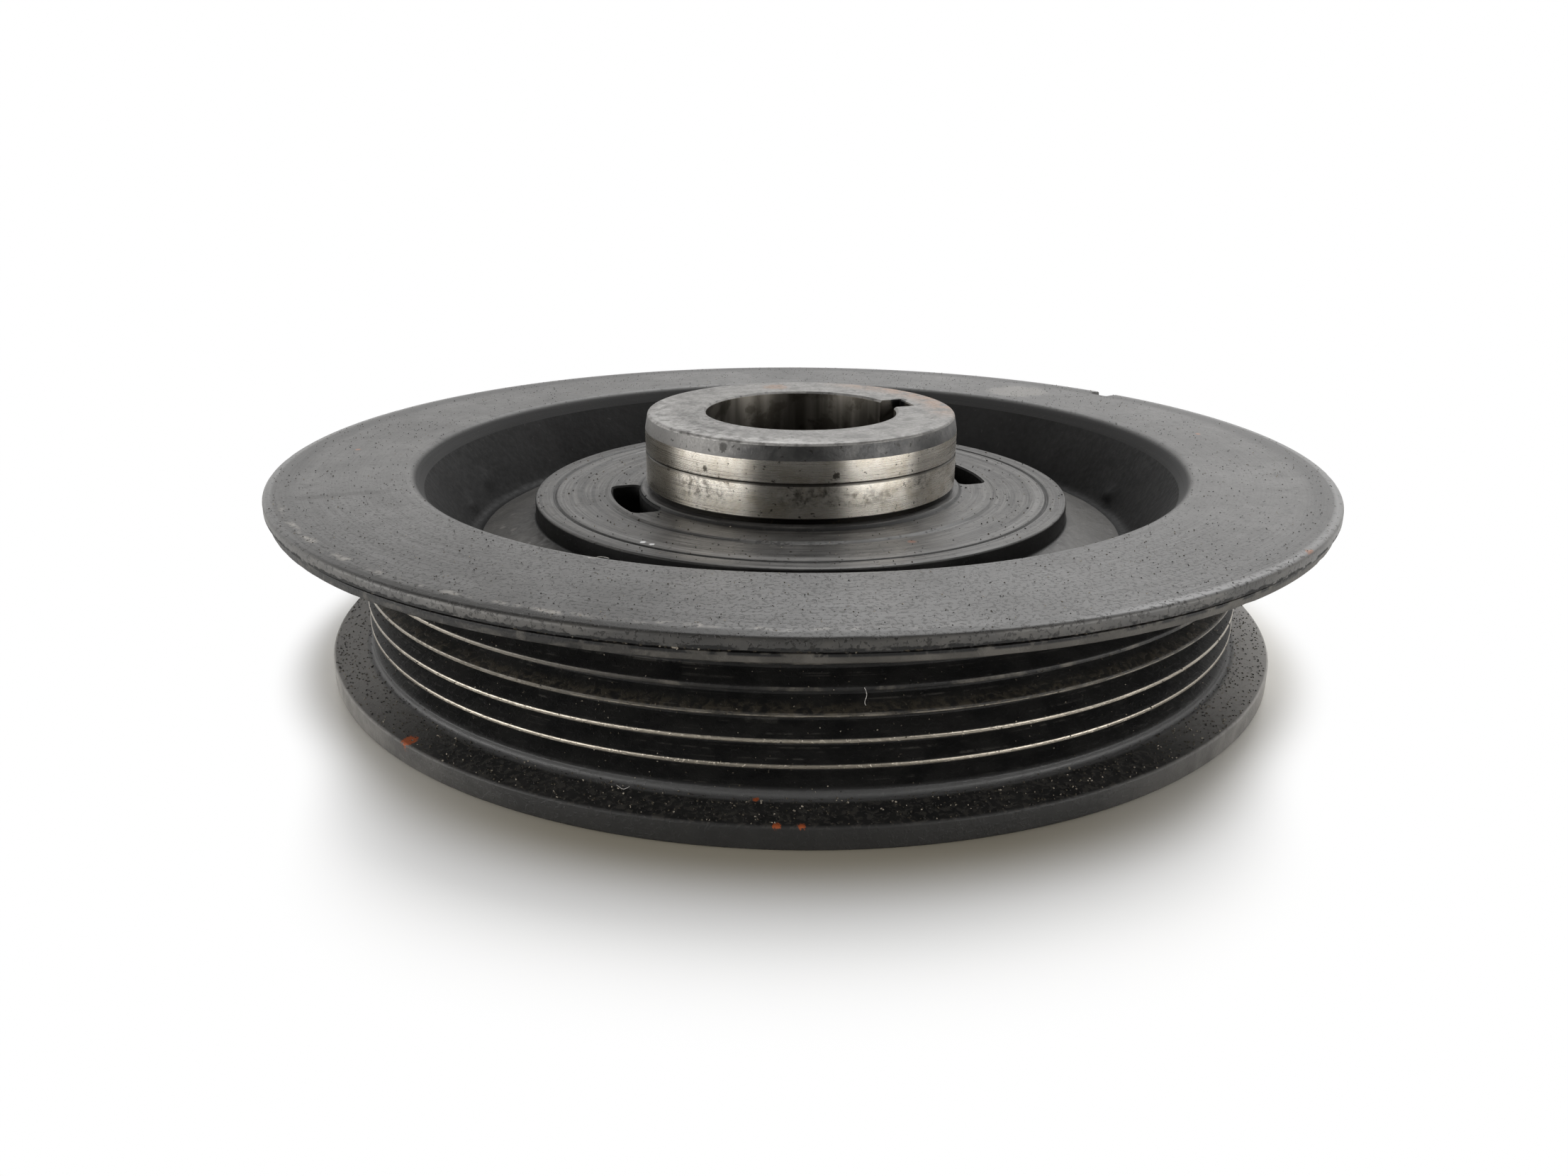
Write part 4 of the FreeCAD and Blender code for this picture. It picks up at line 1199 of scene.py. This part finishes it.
# %% A few fibres
def lay_fibre(name, places):
    """A thin thread through places given as (angle, radius, height)."""
    curve = bpy.data.curves.new(name, "CURVE")
    curve.dimensions = "3D"
    curve.bevel_depth = 0.035 * MM
    curve.bevel_resolution = 1
    curve.use_fill_caps = True
    line = curve.splines.new("NURBS")
    line.points.add(len(places) - 1)
    for point, place in zip(line.points, places):
        point.co = (*(seen_at(*place) * MM), 1.0)
    line.use_endpoint_u = True
    line.order_u = 3
    line.resolution_u = 4
    carrier = bpy.data.objects.new(name, curve)
    bpy.context.collection.objects.link(carrier)
    depsgraph = bpy.context.evaluated_depsgraph_get()
    mesh = bpy.data.meshes.new_from_object(carrier.evaluated_get(depsgraph), depsgraph=depsgraph)
    bpy.data.objects.remove(carrier)
    mesh.materials.clear()
    mesh.materials.append(FIBRE)
    piece = bpy.data.objects.new(name, mesh)
    bpy.context.collection.objects.link(piece)
    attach(piece, "root")


lay_fibre("fibre_on_ribs", [(6.2, 74.6, 19.2), (6.5, 75.3, 18.6), (6.1, 75.2, 17.4), (6.4, 74.7, 16.8)])
lay_fibre("fibre_on_front_flange", [(-17.9, 75.6, 4.1), (-17.4, 76.4, 4.5), (-16.8, 76.8, 4.3),
                                   (-16.3, 76.2, 4.6),
                                    (-16.6, 75.6, 4.2)])
lay_fibre("fibre_on_flange", [(-24.0, 67.2, 31.4), (-23.0, 67.8, 31.6), (-22.3, 67.2, 31.9),
                             (-21.6, 66.6, 31.5)])
print("fibres laid")

# %% [markdown]
# ## Floor, light and background
#
# The pulley stands on a white bench in soft daylight. The room is bright overhead and behind the
# part, and darker on the viewer's side, so faces that look up are light and faces that look at the
# viewer are dark. Two soft windows stand left and right: they make the bright stripes on the sleeve.
# They belong to the world, which the part alone sees. The camera sees plain white instead, and the
# bench fades into it around the part, so that only the part's soft shadow is left. The white fades in
# closer to the part at its sides, which paints light over the shadow there. Near the foot the bench is
# painted darker and browner, darkest in front: partly dust, partly painted contact shadow.

# %% The white bench
def make_white_bench():
    w = Finish("white_bench")
    cloud = w.remap(w.noise(w.place, 0.008, 3.0, 0.5), 0.35, 0.65)
    colour = w.mix(cloud, (0.90, 0.90, 0.885, 1.0), (0.94, 0.935, 0.92, 1.0))
    beside = w.remap(w.math("ABSOLUTE", w.angle), 15.0, 60.0)
    # Near the foot the bench is painted darker and browner, darkest in front: partly dust, partly painted
    # contact shadow.
    contact_dust_and_shadow = w.mix(beside, (0.42, 0.385, 0.31, 1.0), (0.82, 0.80, 0.75, 1.0))
    under_rim = w.times(w.remap(w.radius, 96.0, 82.0), w.remap(w.radius, 60.0, 75.0))
    colour = w.mix(under_rim, colour, contact_dust_and_shadow)
    shader = w.node("ShaderNodeBsdfPrincipled", {"Base Color": colour, "Roughness": 0.28}).outputs[0]
    white = w.node("ShaderNodeEmission", {0: (1.0, 1.0, 1.0, 1.0), 1: 1.0}).outputs[0]
    seen = w.node("ShaderNodeLightPath").outputs["Is Camera Ray"]
    # The camera-only white fades in closer to the part at its sides than in front: painted light over the
    # shadow there.
    reach = w.remap(beside, 0.0, 1.0, 118.0, 91.0)
    far = w.times(w.remap(w.radius, 80.5, reach), seen)
    mixed = w.node("ShaderNodeMixShader", {0: far, 1: shader, 2: white}).outputs[0]
    w.node("ShaderNodeOutputMaterial", {"Surface": mixed})
    return w.material


def lay_floor():
    half, below = 3.0, 0.05 * MM
    mesh = bpy.data.meshes.new("floor")
    mesh.from_pydata([(-half, -half, 0), (half, -half, 0), (half, half, 0), (-half, half, 0)], [],
                     [(0, 1, 2, 3)])
    mesh.materials.append(make_white_bench())
    floor = bpy.data.objects.new("floor", mesh)
    floor.location.z = -below
    bpy.context.collection.objects.link(floor)


lay_floor()


# %% The room and its windows
WINDOWS = [(-69.0, 30.0), (60.0, 25.0)]  # middle and half width in degrees
WINDOW_LEVEL, BEHIND_LEVEL, ROOM_LEVEL = 6.2, 1.0, 0.10


def light_room():
    """The room as the part sees it: a white wall behind, and a bright window at the left and right."""
    world = bpy.data.worlds.new("room")
    bpy.context.scene.world = world
    world.use_nodes = True
    w = Wires(world.node_tree)
    direction = w.node("ShaderNodeTexCoord").outputs["Generated"]
    side = bearing(w, direction)
    rise = w.math("DEGREES", w.math("ARCSINE", w.node("ShaderNodeSeparateXYZ", {0: direction}).outputs[2]))
    behind = w.times(w.remap(w.math("ABSOLUTE", side), 75.0, 115.0), w.remap(rise, 42.0, 20.0))
    level = w.math("MULTIPLY_ADD", behind, BEHIND_LEVEL, ROOM_LEVEL)
    for middle, half in WINDOWS:
        window = w.times(w.window(side, middle, half, 10.0), w.remap(rise, 32.0, 14.0))
        level = w.math("MULTIPLY_ADD", window, WINDOW_LEVEL, level)
    room = w.node("ShaderNodeBackground", {0: (1.0, 0.99, 0.975, 1.0), 1: level}).outputs[0]
    white = w.node("ShaderNodeBackground", {0: (1.0, 1.0, 1.0, 1.0), 1: 1.0}).outputs[0]
    seen = w.node("ShaderNodeLightPath").outputs["Is Camera Ray"]
    both = w.node("ShaderNodeMixShader", {0: seen, 1: room, 2: white}).outputs[0]
    w.node("ShaderNodeOutputWorld", {"Surface": both})


def hang_lamp(name, place, size, watts):
    """A soft square light that looks at the pulley."""
    light = bpy.data.lights.new(name, "AREA")
    light.shape = "SQUARE"
    light.size = size
    light.energy = watts
    lamp = bpy.data.objects.new(name, light)
    lamp.location = turned_view(place)
    lamp.rotation_euler = (-lamp.location).to_track_quat("-Z", "Y").to_euler()
    bpy.context.collection.objects.link(lamp)
    return lamp


light_room()
ceiling = hang_lamp("ceiling", (0.22, 0.50, 0.85), 0.8, 10.0)
bpy.context.scene.view_settings.view_transform = "Standard"
print("lamp:", ceiling.name, ceiling.data.energy, "W")
